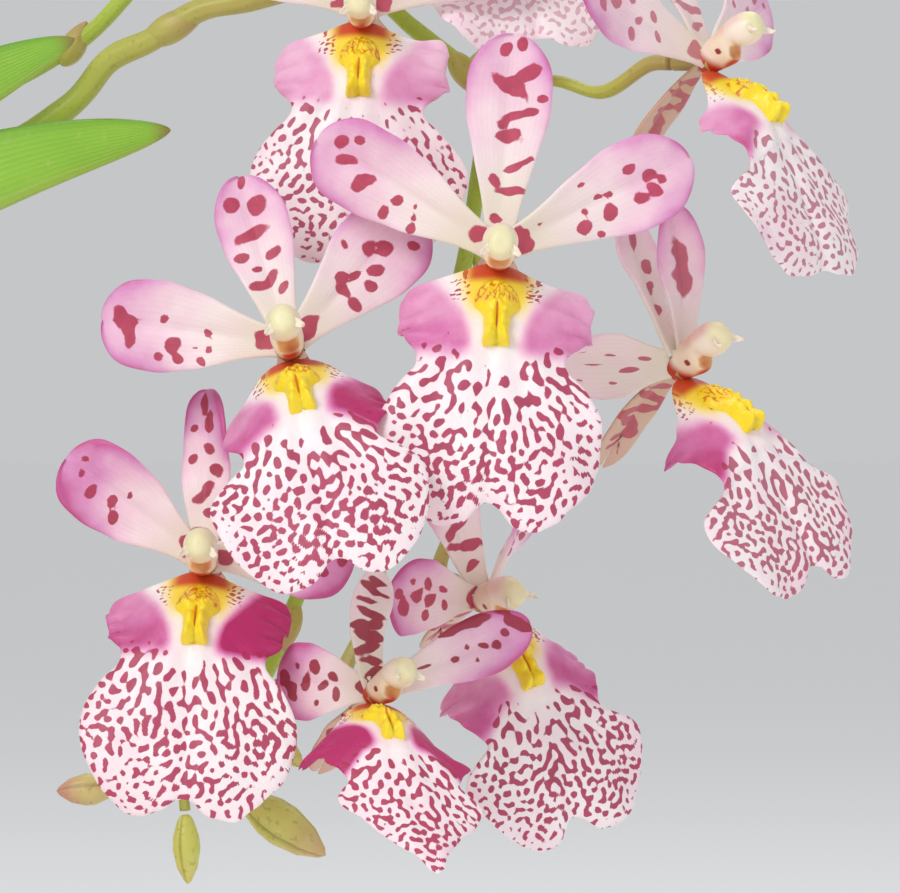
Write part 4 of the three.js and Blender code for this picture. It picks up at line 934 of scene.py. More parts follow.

# Blooms: at is the column's place in the spray, stalk is the way of the pedicel, and marks are blotches
# that were placed one by one. Petals without their own have SCATTER, and sepals have BANDS.
BLOOMS = [
    {
        "name": "bloom_1", "at": [-5.9, 6, 29.4], "yaw": -3, "pitch": 22, "roll": 1, "size": 0.93,
        "lip": {"skirt": 1.06, "droop": 0.045},
        "stalk": [[-5.1, 15, 31.1], [-5.6, 12, 32.4]],
        "look": {"rich": 0.0, "left": 0.5, "right": 0.48, "strength": 0.92, "cover": -0.02},
    },
    {
        "name": "bloom_2", "at": [1.6, 16.5, 39.6], "yaw": 16, "pitch": 0, "roll": -10, "size": 0.86,
        "stalk": [[1.0, 14.6, 25.9], [4.6, 19, 30], [5.6, 24, 37]],
        "look": {"strength": 0.45, "rich": 0, "left": 0.3, "right": 0.3, "cover": 0.0},
    },
    {
        "name": "bloom_3", "at": [17.4, 5, 26.0], "yaw": 53, "pitch": -6, "roll": 0, "size": 0.92,
        "lip": {"lean": 19, "cleft": 0.35, "droop": 0.14, "shoulders": 0.72, "drop": 2.4},
        "stalk": [[1.9, 14, 24.2], [7, 12.4, 25.1], [10.4, 10.4, 24.2]],
        "look": {
            "strength": 0.75, "rich": 0, "left": 0.62, "right": 0.5, "flush": 0.85, "blush": 0.35,
            "cover": 0.0,
        },
    },
    {
        "name": "bloom_4", "at": [3.2, -5.2, 12.8], "yaw": 0, "pitch": 20, "roll": 3, "size": 1,
        "lip": {"droop": 0.055},
        "dorsal": {"angle": 1, "length": 13.8},
        "left_petal": {"length": 13.6, "angle": -63},
        "right_petal": {"length": 13.6, "angle": 63},
        "stalk": [[2.0, 13, 20], [3, 7, 17]],
        "look": {"left": 0.62, "right": 0.58, "rich": 0.1},
        "marks": {
            "dorsal": [
                (0.93, -0.2, 0.45, 0.42, 0), (0.945, 0.4, 0.36, 0.55, 0), (0.826, 0.5, 0.75, 0.58, 20),
                (0.745, 0.02, 1.35, 0.55, -30), (0.7, 0.78, 0.4, 0.3, 0), (0.615, 0.24, 1.45, 0.38, 8),
                (0.57, -0.1, 0.5, 0.5, 0), (0.51, 0.08, 1.0, 0.5, 5), (0.37, 0.45, 1.0, 0.28, 28),
                (0.29, -0.35, 0.5, 0.36, -60), (0.245, 0.35, 1.1, 0.3, 5), (0.11, -0.35, 0.45, 0.35, 0),
            ],
            "left_petal": [
                BASE_MARK, (0.895, 0.3, 0.52, 0.4, -20), (0.815, 0.51, 0.33, 0.36, 0),
                (0.813, -0.03, 0.85, 0.42, -63), (0.7, -0.28, 0.8, 0.5, -45), (0.51, -0.28, 0.46, 0.28, -63),
                (0.54, -0.71, 0.45, 0.4, 0), (0.42, -0.21, 0.4, 0.34, 0), (0.4, -0.5, 0.34, 0.28, 0),
                (0.385, -0.8, 0.4, 0.3, 0),
            ],
            "right_petal": [
                BASE_MARK, (0.703, -0.35, 0.4, 0.55, 10), (0.78, -0.08, 0.42, 0.48, 0),
                (0.84, 0.18, 0.42, 0.45, 0), (0.777, 0.28, 0.6, 0.34, 50), (0.7, 0.31, 0.52, 0.58, 0),
                (0.513, -0.13, 0.22, 0.32, 0), (0.57, -0.05, 0.25, 0.36, 0), (0.425, 0.12, 0.38, 0.42, 0),
                (0.543, 0.36, 0.62, 0.46, -20), (0.395, 0.51, 0.5, 0.55, 0), (0.45, 0.82, 0.4, 0.36, 0),
                (0.457, -0.65, 0.18, 0.32, 0), (0.204, -0.3, 0.2, 0.24, 0),
            ],
        },
    },
    {
        "name": "bloom_5", "at": [-10.6, -4.8, 6.6], "yaw": 2, "pitch": 5, "roll": -13, "size": 1,
        "lip": {"lean": 33, "curl": 25, "shoulders": 0.9, "droop": 0.1, "right": 0.95, "drop": 1.5},
        "dorsal": {"angle": -4, "length": 11.4, "half": 2.4},
        "left_petal": {"angle": -70, "length": 12.2},
        "right_petal": {"angle": 58, "length": 12.5, "lean": -24},
        "stalk": [[-4.4, 10.2, -0.3], [-9, 5, 3]],
        "look": {"left": 0.72, "right": 0.95, "rich": 0.25, "cover": 0.24},
        "marks": {
            "dorsal": [
                (0.96, 0.0, 0.5, 0.3, 60), (0.85, -0.45, 0.5, 0.5, 0), (0.8, 0.25, 0.6, 0.62, 0),
                (0.65, -0.15, 1.25, 0.5, 12), (0.53, -0.55, 0.6, 0.35, 0), (0.5, 0.3, 0.7, 0.42, 25),
                (0.44, -0.3, 0.4, 0.28, 0), (0.37, 0.1, 1.0, 0.4, 40), (0.34, -0.45, 0.7, 0.34, -10),
                (0.29, 0.5, 0.5, 0.3, 50), (0.17, 0.0, 0.9, 0.26, 0),
            ],
            "left_petal": [
                BASE_MARK, (0.86, 0.05, 1.0, 0.42, 90), (0.9, 0.15, 0.6, 0.5, 30),
                (0.83, -0.25, 0.85, 0.4, 10), (0.655, 0.19, 0.3, 0.34, 0), (0.413, -0.03, 0.36, 0.32, 0),
                (0.386, -0.27, 0.15, 0.22, 0), (0.394, -0.5, 0.36, 0.3, 0), (0.589, -0.35, 0.5, 0.58, 0),
                (0.47, -0.44, 0.24, 0.4, 0), (0.675, -0.63, 0.34, 0.4, 0), (0.55, -0.73, 0.36, 0.4, 0),
                (0.433, -0.78, 0.34, 0.34, 0),
            ],
            "right_petal": [
                BASE_MARK, (0.58, -0.7, 0.5, 0.38, 0), (0.65, -0.24, 0.5, 0.6, 0),
                (0.72, 0.06, 0.55, 0.5, 0), (0.84, 0.44, 0.4, 0.28, 30), (0.44, -0.27, 0.45, 0.3, 70),
                (0.5, -0.04, 0.45, 0.28, 80), (0.6, 0.26, 0.6, 0.4, 60), (0.52, 0.42, 0.5, 0.36, 0),
                (0.385, 0.0, 0.55, 0.35, 0), (0.37, 0.62, 0.6, 0.42, 20),
            ],
        },
    },
    {
        "name": "bloom_6", "at": [15.6, 7, 5.4], "yaw": 46, "pitch": -2, "roll": -12, "size": 0.95,
        "lip": {"lean": 23, "droop": 0.16, "shoulders": 0.74, "drop": 2.4, "right": 0.86, "left": 1.06},
        "dorsal": {"angle": 12, "lean": -28, "bend": 8, "turn": -8, "half": 2.2, "tint": 0.6},
        "synsepal": {"angle": 192},
        "left_petal": {"lean": -58, "bend": 0, "angle": -76, "twist": 60, "length": 8.6, "tint": 0.45},
        "right_petal": {
            "angle": 24, "lean": -4, "bend": 10, "turn": -16, "length": 11.4, "half": 2.15, "side": -34,
            "peak": 0.5, "twist": 36,
        },
        "stalk": [[1.5, 12, 14], [4, 13, 7], [8, 12.6, 4.4]],
        "look": {"strength": 0.85, "rich": 0.05, "left": 0.72, "right": 0.45, "flush": 0.8, "blush": 0.6},
        "marks": {
            "dorsal": [
                (0.32, 0.1, 0.5, 0.45, 0), (0.47, 0.0, 0.6, 0.55, 20), (0.6, 0.2, 0.75, 0.5, 30),
                (0.78, 0.0, 1.0, 0.5, 60), (0.9, 0.1, 0.4, 0.3, 0),
            ],
            "left_petal": [
                (0.24, 0.3, 0.5, 0.14, 80), (0.38, -0.2, 0.7, 0.16, 95), (0.52, 0.35, 0.6, 0.16, 80),
                (0.55, -0.5, 0.5, 0.14, 90), (0.7, 0.0, 0.8, 0.2, 90), (0.74, 0.55, 0.5, 0.16, 100),
                (0.82, -0.4, 0.4, 0.16, 85),
            ],
            "right_petal": [(0.5, 0.1, 1.1, 1.8, 0), (0.68, 0, 0.8, 1.3, 20)],
        },
    },
    {
        "name": "bloom_7", "at": [-16.4, -0.4, -7.6], "yaw": -3, "pitch": 12, "roll": 3, "size": 0.97,
        "lip": {"droop": 0.06},
        "dorsal": {"length": 11.2, "half": 2.1, "twist": 50, "angle": -2},
        "left_petal": {"angle": -58, "length": 11.4},
        "right_petal": {"angle": 88, "length": 10},
        "stalk": [[-9.6, 10, -9], [-14, 8, -8]],
        "look": {"left": 0.75, "right": 1.15, "rich": 0.45, "flush": 1.0},
        "marks": {
            "dorsal": [
                (0.92, -0.1, 0.6, 0.34, 80), (0.8, 0.2, 0.75, 0.42, 60), (0.76, -0.5, 0.34, 0.3, 0),
                (0.63, 0.1, 0.65, 0.42, 25), (0.57, -0.5, 0.5, 0.32, 60), (0.5, 0.35, 0.6, 0.44, -20),
                (0.37, 0.0, 0.85, 0.5, 60), (0.24, 0.3, 0.5, 0.34, 0), (0.12, 0.0, 0.8, 0.4, 0),
            ],
            "left_petal": [
                BASE_MARK, (0.87, -0.1, 0.5, 0.36, 0), (0.9, 0.35, 0.4, 0.5, 0), (0.76, -0.3, 0.5, 0.4, 0),
                (0.62, -0.15, 0.4, 0.3, 0), (0.56, -0.5, 0.45, 0.3, 0), (0.55, 0.2, 0.36, 0.26, 0),
            ],
        },
    },
    {
        "name": "bloom_8", "at": [-4.9, -4, -16.3], "yaw": 32, "pitch": 2, "roll": 4, "size": 0.84,
        "lip": {
            "point": 0.8, "fold": 0.2, "lean": 39, "curl": 0, "swing": -28, "cleft": 0, "droop": 0.12,
            "skirt": 0.84, "slant": 0.3, "drop": 2.2, "shoulders": 0.95,
        },
        "dorsal": {
            "angle": -20, "side": 60, "lean": -12, "bend": -6, "length": 9.8, "half": 1.65, "turn": 15,
            "tint": 0.15,
        },
        "left_petal": {"angle": -88, "length": 8.4, "lean": -62},
        "right_petal": {"angle": 60, "lean": 18, "half": 2.5},
        "stalk": [[-5.3, 10, -2], [-4.8, 10, -9]],
        "look": {"left": 1.3, "right": 1.25, "rich": 0.8, "flush": 1.0, "blush": 0.0, "cover": 0.22},
        "marks": {
            "dorsal": [
                (0.1, 0, 1.0, 0.4, 8), (0.2, 0.1, 1.1, 0.34, -10), (0.3, -0.1, 1.3, 0.36, 8),
                (0.4, 0.1, 1.3, 0.36, -8), (0.5, 0, 1.4, 0.34, 10), (0.6, 0.1, 1.4, 0.36, -10),
                (0.7, -0.1, 1.3, 0.34, 8), (0.79, 0.1, 1.1, 0.3, -6), (0.88, 0, 0.8, 0.28, 5),
            ],
            "right_petal": [
                (0.64, -0.9, 3.0, 0.55, 84), (0.93, -0.3, 1.5, 0.5, 40), (0.3, -0.2, 0.7, 0.2, 80),
                (0.5, 0.1, 0.4, 0.28, 90), (0.59, -0.1, 0.35, 0.28, 0), (0.68, 0.0, 0.45, 0.3, 60),
                (0.77, 0.2, 0.5, 0.34, 30), (0.84, -0.1, 0.4, 0.3, 0), (0.62, 0.4, 0.3, 0.25, 0),
            ],
        },
    },
    {
        "name": "bloom_9", "at": [2.2, 8, -10.4], "yaw": 40, "pitch": 17, "roll": -22, "size": 0.9,
        "lip": {"drop": 2.0, "shoulders": 0.95, "droop": 0.12, "swing": -10, "root": [0.3, -0.6, -1.6]},
        "left_petal": {"angle": -68, "length": 8, "lean": -10},
        "right_petal": {"angle": 56, "turn": -35, "half": 2.2, "length": 9.5},
        "stalk": [[-0.8, 11.1, 6], [0.9, 14, -3]],
        "look": {"left": 0.62, "right": 0.66, "rich": 0.1, "flush": 0.95, "blush": 0.3},
    },
]


def bloom_matrix(bloom):
    """Where a bloom stands: its column's place, and yaw, pitch, roll and size. In millimetres."""
    turn = Matrix.Rotation(radians(bloom["yaw"]), 3, "Z")
    turn = turn @ Matrix.Rotation(radians(bloom["pitch"]), 3, "X")
    turn = turn @ Matrix.Rotation(radians(bloom["roll"]), 3, "Y")
    matrix = np.eye(4)
    matrix[:3, :3] = np.array(turn) * bloom["size"]
    matrix[:3, 3] = SPRAY + bloom["at"]
    return matrix


NECK_END = np.array([0, NECK_LENGTH, 0.3])
NECK_WAY = np.array([0, 1, 0.1]) / np.hypot(1, 0.1)

for number, bloom in enumerate(BLOOMS):
    seed = 40 + 7 * number
    look = {**LOOK, **bloom.get("look", {})}
    flower = Piece([PETAL, LIP_SKIN, CALLUS, COLUMN, STEM])
    for k, (organ_name, organ) in enumerate(ORGANS.items()):
        organ = {**organ, **bloom.get(organ_name, {})}
        usual = SCATTER if "petal" in organ_name else BANDS
        marks = bloom.get("marks", {}).get(organ_name, usual)
        hidden = organ_name == "synsepal"
        blade(
            flower, organ, seed + k, marks, look["flush"] * (0.55 if hidden else organ["tint"]),
            look["rich"], look["strength"], warm=0.75 if hidden else 0,
        )
    lip(flower, {**LIP, **bloom.get("lip", {})}, seed, look)
    column(flower, seed, look)
    tube(
        flower, STEM, [[0, -0.5, 0], [0, NECK_LENGTH / 2, 0.1], NECK_END],
        lambda s: mix(1.0, NECK_RADIUS, rise(s, 0, 0.6)), rings=12, warm=0.5, flush=0.2,
    )
    flower.build(f"{bloom['name']}_petals", "petal", bloom["name"], bloom_matrix(bloom))


# Stems
PEDUNCLE = [
    [5, 18, MIX_TOP - 6], [5.5, 18, MIX_TOP + 3], [10, 18.5, 68], [27, 19, 84],
    *(SPRAY + [
        [-26.4, 18, 23.7], [-23.6, 17, 26.8], [-20.8, 16, 28.1], [-17.3, 15, 30.1], [-14.5, 14.5, 30.7],
        [-8.9, 14.5, 32.1],
    ]),
]
RACHIS = SPRAY + [
    [-14.5, 14.5, 30.7], [-8.9, 14.5, 32.1], [-5.1, 15, 31.1], [-3.0, 15, 29.3], [1.8, 14, 24.7],
    [1.7, 12, 16.9], [-0.7, 11, 6.6], [-5.5, 10, -2.3], [-10.2, 10, -9.8], [-11.6, 10, -13.6],
    [-13.3, 10, -17.3], [-14.5, 10, -21.1],
]

# Sheaths that clasp the stem: place, way, half length and half thickness
BRACTS = [
    ([-19, 15.5, 29.1], [1, -0.3, 0.5], 2.6, 1.1), ([1.2, 14.2, 25.6], [0.6, 0, -0.8], 2.0, 0.95),
    ([-11.1, 10, -12.4], [-0.3, 0, -1], 2.0, 0.95), ([-3.4, 10.5, 1.6], [-0.5, 0, -0.9], 1.7, 0.9),
]
BUDS = [
    {"name": "bud_1", "base": [-22.7, 6, -23.1], "tip": [-26.6, 6, -23.3], "thick": 1.1, "pink": 0.75,
     "stalk": [[-14.5, 10, -20.6], [-18.5, 9, -23.2]], "tan": 0.6},
    {"name": "bud_2", "base": [-17.9, 6, -24.9], "tip": [-17.7, 6, -29.6], "thick": 0.95, "pink": 0.2,
     "stalk": [[-14.5, 10, -20.6], [-17, 8.4, -22.8]], "tan": 0.0},
    {"name": "bud_3", "base": [-14.0, 6.5, -23.7], "tip": [-8.4, 5, -27.6], "thick": 1.5, "pink": 0.5,
     "stalk": [[-14.5, 10, -20.6], [-15, 8, -22.4]], "tan": 0.12},
    {"name": "bud_4", "base": [-11.8, 7, -19.8], "tip": [-10.0, 6.5, -21.7], "thick": 0.7, "pink": 0.1,
     "stalk": [[-13.6, 10, -18], [-12.6, 8.6, -18.8]], "tan": 0.3},
]
YOUNG_SPIKE = [
    [-3, 21, MIX_TOP - 6], [-2.5, 21, MIX_TOP + 3], [4, 21.5, 70], [24, 22, 88],
    *(SPRAY + [[-26.3, 21, 28.1], [-23.0, 20, 31.1], [-19.8, 19, 35.2], [-18.2, 18.5, 38.6]]),
]
YOUNG_BUDS = [
    ([-17.8, 18.4, 40.0], [0.3, 0, 1], 1.9, 1.0), ([-20.9, 19, 36.6], [-0.8, 0, 1], 1.6, 0.85),
    ([-18.4, 19, 36.0], [1, 0, 0.6], 1.6, 0.85), ([-26.3, 21, 28.2], [0.5, 0, 0.9], 1.8, 0.95),
]


def spindle(piece, skin, start, end, thick, profile, seams=0.0, rings=30, sides=24, **masks):
    """A closed turned form between two points. profile gives the radius, as a share of thick, along it."""
    start, end = np.array(start, float), np.array(end, float)
    way = end - start
    unit = way / np.linalg.norm(way)
    side = np.cross(unit, [0, 1, 0.2])
    side /= np.linalg.norm(side)
    other = np.cross(unit, side)
    share = (1 - np.cos(np.linspace(0, pi, rings))) / 2
    turns = 2 * pi * np.arange(sides) / sides
    across, up = np.meshgrid(turns, share)
    seam = np.exp(-((1 - np.cos(3 * across)) / 0.06))
    radius = thick * profile(up) * (1 - seams * seam) + 0.002
    outward = np.cos(across)[..., None] * side + np.sin(across)[..., None] * other
    points = start + way * up[..., None] + radius[..., None] * outward
    made = {"across": across / pi - 1}
    made.update({name: mask(up, seam) if callable(mask) else mask for name, mask in masks.items()})
    ends = [points[0].mean(0), points[-1].mean(0)]
    made = {name: np.append(np.broadcast_to(mask, up.shape).ravel(), [0, 0]) for name, mask in made.items()}
    piece.add(np.concatenate([points.reshape(-1, 3), ends]), capped_faces(rings, sides), skin, **made)


def bract(piece, place, way, long, thick):
    """A pointed sheath round the stem."""
    way = np.array(way, float) / np.linalg.norm(way)
    middle = SPRAY + place
    spindle(
        piece, STEM, middle - way * long, middle + way * long, thick,
        lambda s: np.sin(pi * np.clip(s, 0, 1) ** 0.8) ** 0.7, seams=0.08, rings=20, sides=16,
        warm=lambda s, seam: 0.35 + 0.4 * s, flush=lambda s, seam: 0.35 * rise(s, 0.4, 1),
    )


def pedicel_path(bloom):
    """From the rachis to just short of the bloom's neck."""
    matrix = bloom_matrix(bloom)
    ends = [NECK_END + NECK_WAY * 2.2, NECK_END + NECK_WAY * GAP / bloom["size"]]
    return [*(SPRAY + bloom["stalk"]), *(matrix[:3, :3] @ end + matrix[:3, 3] for end in ends)]


def bud_stalk_path(bud):
    base, tip = SPRAY + bud["base"], SPRAY + bud["tip"]
    back = (base - tip) / np.linalg.norm(base - tip)
    return [*(SPRAY + bud["stalk"]), base + back * 1.5, base + back * GAP]


unevenness = ripples(5, 7, 0.8, 2.4)


def stem_bumps(points):
    return 0.05 * unevenness(points)


stem = Piece([STEM])
tube(
    stem, STEM, PEDUNCLE, PEDUNCLE_RADIUS, rings=150, sides=16, bumps=stem_bumps,
    green=lambda s: 0.7 * (1 - rise(s, 0.6, 1)), warm=lambda s: 0.5 * rise(s, 0.7, 0.95),
)
tube(
    stem, STEM, RACHIS, lambda s: RACHIS_RADIUS * (1 - 0.15 * s), rings=150, sides=14,
    bumps=lambda points: 1.2 * stem_bumps(points), green=0.6,
)
for bloom in BLOOMS:
    tube(
        stem, STEM, pedicel_path(bloom), lambda s: PEDICEL_RADIUS * mix(1, 1.3, rise(s, 0.35, 1)), rings=44,
        sides=12, bumps=stem_bumps, green=lambda s: 0.35 * (1 - s),
        warm=lambda s: 0.35 * s, flush=lambda s: 0.3 * rise(s, 0.6, 1),
    )
for bud in BUDS:
    tube(
        stem, STEM, bud_stalk_path(bud), PEDICEL_RADIUS * 0.9, rings=30, sides=10, green=0.4,
        warm=lambda s: 0.4 * s,
    )
for place, way, long, thick in BRACTS:
    bract(stem, place, way, long, thick)
stem.build("flower_stem_fine", "stem", "flower_stem")

spike = Piece([STEM])
tube(
    spike, STEM, YOUNG_SPIKE, SPIKE_RADIUS, rings=130, sides=14, bumps=stem_bumps, green=0.5,
)
for place, way, long, thick in YOUNG_BUDS:
    bract(spike, place, way, long, thick)
spike.build("young_spike_fine", "stem", "young_spike")


def bud_profile(s):
    places = [0, 0.02, 0.1, 0.32, 0.5, 0.76, 0.95, 1]
    return np.interp(s, places, [0.25, 0.4, 0.62, 0.95, 1, 0.75, 0.28, 0.02])


for bud in BUDS:
    made = Piece([BUD])
    spindle(
        made, BUD, SPRAY + bud["base"], SPRAY + bud["tip"], bud["thick"], bud_profile, seams=0.14, rings=44,
        sides=48, green=0.5 - 0.5 * bud["tan"], warm=bud["tan"],
        flush=lambda s, seam: bud["pink"] * rise(s, 0.45, 1), rich=lambda s, seam: 0.5 * seam,
    )
    made.build(f"{bud['name']}_fine", "bud", bud["name"])


# Leaves: lean, bend, length, width and sideways drift of each leaf of a fan
FANS = [
    {
        "name": "leaf_fan_1", "at": [7, 12], "turn": 0,
        "leaves": [
            (24, 58, 69, 9, 2), (22, 46, 67, 8.6, 3), (14, 10, 56, 8, 1), (-6, -10, 52, 8, -1),
            (-26, -18, 55, 8.4, -1), (-50, -30, 46, 8, 0),
        ],
    },
    {
        "name": "leaf_fan_2", "at": [-10, -6], "turn": -14,
        "leaves": [
            (52, 34, 32, 7, 0), (26, 16, 41, 7.6, -1), (5, 6, 44, 7.6, 0), (-18, -14, 46, 8, 1),
            (-44, -26, 40, 7.4, 0),
        ],
    },
    {
        "name": "leaf_fan_3", "at": [5, -21], "turn": -6,
        "leaves": [
            (40, 30, 30, 6.4, -1), (14, 14, 34, 6.8, 0), (-10, -10, 32, 6.6, -1), (-36, -30, 27, 6.2, 0),
        ],
    },
]
LEAF_THICK = 2.4
FAN_FOOT = 3
LEAF_STEPS = 400

# Half of a leaf's section: place across it, and half thickness
LEAF_SECTION = [
    [-1, 0.03], [-0.9, 0.2], [-0.55, 0.34], [-0.15, 0.42], [0.2, 0.47], [0.6, 0.47], [0.85, 0.3],
    [0.97, 0.12],
]


def leaf(piece, lean, bend, length, width, drift, seed, rings=64):
    """A fleshy folded leaf. Its lower edge is the thick keel, and its upper edge is a shallow channel."""
    wobble = ripples(seed, 6, 0.1, 0.5)
    s = np.sin(np.linspace(0, 1, rings) * pi / 2)
    fine = np.linspace(0, 1, LEAF_STEPS)
    way = np.radians(lean + bend * fine)
    step = length / (LEAF_STEPS - 1)
    x = np.concatenate([[0], np.cumsum(np.sin(way[:-1]) * step)])
    z = np.concatenate([[0], np.cumsum(np.cos(way[:-1]) * step)])
    centre = np.stack([np.interp(s, fine, x), np.zeros(rings), np.interp(s, fine, z)], -1)
    way = np.radians(lean + bend * s)
    downhill = np.sign(lean)
    across = np.stack([np.cos(way), 0 * s, -np.sin(way)], -1) * downhill
    half = width / 2 * (0.62 + 0.38 * rise(s, 0, 0.4)) * np.maximum(1 - s**2.8, 1e-3) ** 0.6
    thick = np.maximum(LEAF_THICK * (1 - 0.62 * s), 0.72) * np.sqrt(np.clip(1 - s**14, 0.01, 1))
    section = np.array([*LEAF_SECTION, [1, 0], *([x, -y] for x, y in LEAF_SECTION[::-1]), [-0.93, 0]])
    t, deep = section.T
    rows = centre[:, None] + across[:, None] * (half[:, None] * t)[..., None]
    rows[..., 1] += deep * thick[:, None] + (drift * s * s)[:, None]
    rows[..., 1] += 0.35 * wobble(rows) * (0.4 + 0.6 * s[:, None])
    sides = len(section)
    points = np.concatenate([rows.reshape(-1, 3), rows[:1].mean(1), rows[-1:].mean(1)])
    s, t = np.append(np.repeat(s, sides), [0, 1]), np.append(np.tile(t, rings), [0, 0])
    piece.add(
        points, capped_faces(rings, sides, flip=downhill > 0), LEAF, across=t,
        warm=0.45 * rise(t, 0.55, 1) + 0.5 * (1 - rise(s, 0, 0.2)), flush=0.7 * rise(s, 0.975, 1),
        green=0.55 * (1 - rise(t, -1, -0.7)) + 0.25 * (wobble(points * 0.6) + 1) / 2,
    )


for number, fan in enumerate(FANS):
    made = Piece([LEAF])
    for k, blade_of in enumerate(fan["leaves"]):
        leaf(made, *blade_of, seed=200 + 10 * number + k)
    spindle(
        made, LEAF, [0, 0, 0.6 - FAN_FOOT], [0, 0, 0.6 + FAN_FOOT], FAN_FOOT,
        lambda s: np.sqrt(4 * s * (1 - s)) * 0.95, warm=0.8,
        flush=lambda s, seam: 0.6 * (1 - rise(s, 0.3, 0.8)),
    )
    made.points[-1] = made.points[-1] * [1.5, 0.7, 1]
    matrix = np.eye(4)
    matrix[:3, :3] = np.array(Matrix.Rotation(radians(fan["turn"]), 3, "Z"))
    matrix[:3, 3] = [*fan["at"], MIX_TOP + FAN_FOOT]
    made.build(f"{fan['name']}_fine", "leaf", fan["name"], matrix)


# Rhizome and roots
RHIZOME_RADIUS = 1.5
ROOT_RADIUS = 0.8
ROOT_LIMIT = 25
RHIZOME_Z = MIX_TOP - RHIZOME_RADIUS
ROOT_TURNS = [20, 100, 140, 205, 275, 330]


def seeded(state):
    """Random numbers from 0 to 1, the same as the plain solids use for their roots and chips."""
    whole = 0xFFFFFFFF
    while True:
        state = (state + 0x6D2B79F5) & whole
        t = ((state ^ (state >> 15)) * (1 | state)) & whole
        t = ((t + ((t ^ (t >> 7)) * (61 | t) & whole)) & whole) ^ t
        yield ((t ^ (t >> 14)) & whole) / 2**32


def root_paths():
    """Roots that leave each fan in turn, dip over the mix and sink into it."""
    random = seeded(7)
    paths = []
    for k, degrees in enumerate(ROOT_TURNS):
        x, y = FANS[k % len(FANS)]["at"]
        turn = radians(degrees + 16 * (next(random) - 0.5))
        reach = 13 + 5 * next(random)
        path = []
        for share, bow, z in (
            (0, 0, RHIZOME_Z), (0.3, 0.1, MIX_TOP), (0.65, 0.25, MIX_TOP + 0.4), (1, 0.3, MIX_TOP - 3),
        ):
            point = np.array([x + reach * share * cos(turn + bow), y + reach * share * sin(turn + bow)])
            point *= min(1, ROOT_LIMIT / np.hypot(*point))
            path.append([*point, z])
        paths.append(path)
    return paths


root_bumps = ripples(9, 8, 1.0, 3.0)
roots = Piece([ROOT])
creep = [[13, 17, RHIZOME_Z], *([*fan["at"], RHIZOME_Z] for fan in FANS), [8, -23, RHIZOME_Z]]
tube(
    roots, ROOT, creep, lambda s: RHIZOME_RADIUS * (1 + 0.1 * (s * 14 % 1)), rings=150, sides=20,
    bumps=lambda p: 0.08 * root_bumps(p), warm=0.8,
)
for path in root_paths():
    tube(
        roots, ROOT, path, lambda s: ROOT_RADIUS * (1 - 0.15 * s), rings=60, sides=14,
        bumps=lambda p: 0.09 * root_bumps(p), green=lambda s: 0.9 * rise(s, 0.75, 0.9),
    )
roots.build("roots_fine", "root", "rhizome_and_roots")


# Potting mix
MIX_WAIST = 30
MIX_CHIPS = 19
CHIP_LENGTH = 13
CHIP_THICK = 3
SMALL_CHIPS = 150
GOLDEN_TURN = 2.39996
FAN_CLEAR = (13, 4.6)
STEM_CLEAR = 2.6


def pot_outside(z):
    return mix(POT_BASE_RADIUS, POT_TOP_RADIUS - RIM_PROUD, z / POT_HEIGHT)


def pot_inside(z):
    return pot_outside(z) - POT_WALL + 0.4 * RIM_PROUD


def chip(piece, centre, size, turn, seed, rings=11, sides=18):
    """A broken plate of bark: a box with worn edges, layered and rough."""
    wobble = ripples(seed, 8, 0.5, 2.2)
    v = np.linspace(-pi / 2, pi / 2, rings)[:, None]
    u = (2 * pi * np.arange(sides) / sides)[None, :]

    def square(value, power):
        return np.sign(value) * np.abs(value) ** power

    flat = square(np.cos(v), 0.35)
    x, y = flat * square(np.cos(u), 0.5), flat * square(np.sin(u), 0.5)
    points = np.stack([x, y, square(np.sin(v) + 0 * u, 0.45)], -1) * (np.array(size) / 2)
    rough = wobble(points + seed)
    points = points * (1 + 0.13 * rough)[..., None]
    points[..., 2] += 0.05 * size[0] * wobble(points * 0.3)
    points = points.reshape(-1, 3) @ np.array(turn).T + centre
    shade = 0.16 * np.sin(seed * 2.4) + 0.04 * rough.ravel()
    piece.add(points, [ring_faces(rings, sides)], BARK, across=shade)


def turned_by(x, y, z):
    """A turn about Z, then Y, then X, in radians."""
    return Matrix.Rotation(x, 3, "X") @ Matrix.Rotation(y, 3, "Y") @ Matrix.Rotation(z, 3, "Z")


mix_radius = pot_inside(MIX_TOP) - GAP
foot_radius = pot_inside(POT_FLOOR + GAP) - GAP
bark = Piece([BARK])
rough_top = ripples(21, 10, 0.4, 1.6)
rings, around = 46, 110
turns = 2 * pi * np.arange(around) / around
plug = []
for share in np.linspace(0.02, 1, rings):
    ring = np.stack([mix_radius * share * np.cos(turns), mix_radius * share * np.sin(turns), 0 * turns], -1)
    ring[:, 2] = MIX_TOP - 0.9 + 0.5 * rough_top(ring) - 0.5 * share**8
    plug.append(ring)
for z, radius in ((MIX_WAIST, pot_inside(MIX_WAIST) - GAP), (POT_FLOOR + GAP, foot_radius)):
    plug.append(np.stack([radius * np.cos(turns), radius * np.sin(turns), z + 0 * turns], -1))
plug = np.concatenate([*plug, [[0, 0, MIX_TOP - 0.9], [0, 0, POT_FLOOR + GAP]]])
bark.add(plug, capped_faces(rings + 2, around, flip=True), BARK, across=-0.1)
random = seeded(21)
for k in range(MIX_CHIPS):
    reach = (mix_radius - CHIP_LENGTH * 0.62) * np.sqrt((k + 0.5) / MIX_CHIPS)
    turn = k * GOLDEN_TURN
    size = [mix(0.6, 1, next(random)) * CHIP_LENGTH, mix(0.4, 0.65, next(random)) * CHIP_LENGTH, CHIP_THICK]
    tilt = [radians(30 * (next(random) - 0.5)) for _ in range(2)] + [radians(360 * next(random))]
    chip(bark, [reach * cos(turn), reach * sin(turn), MIX_TOP + 0.1], size, turned_by(*tilt), k)

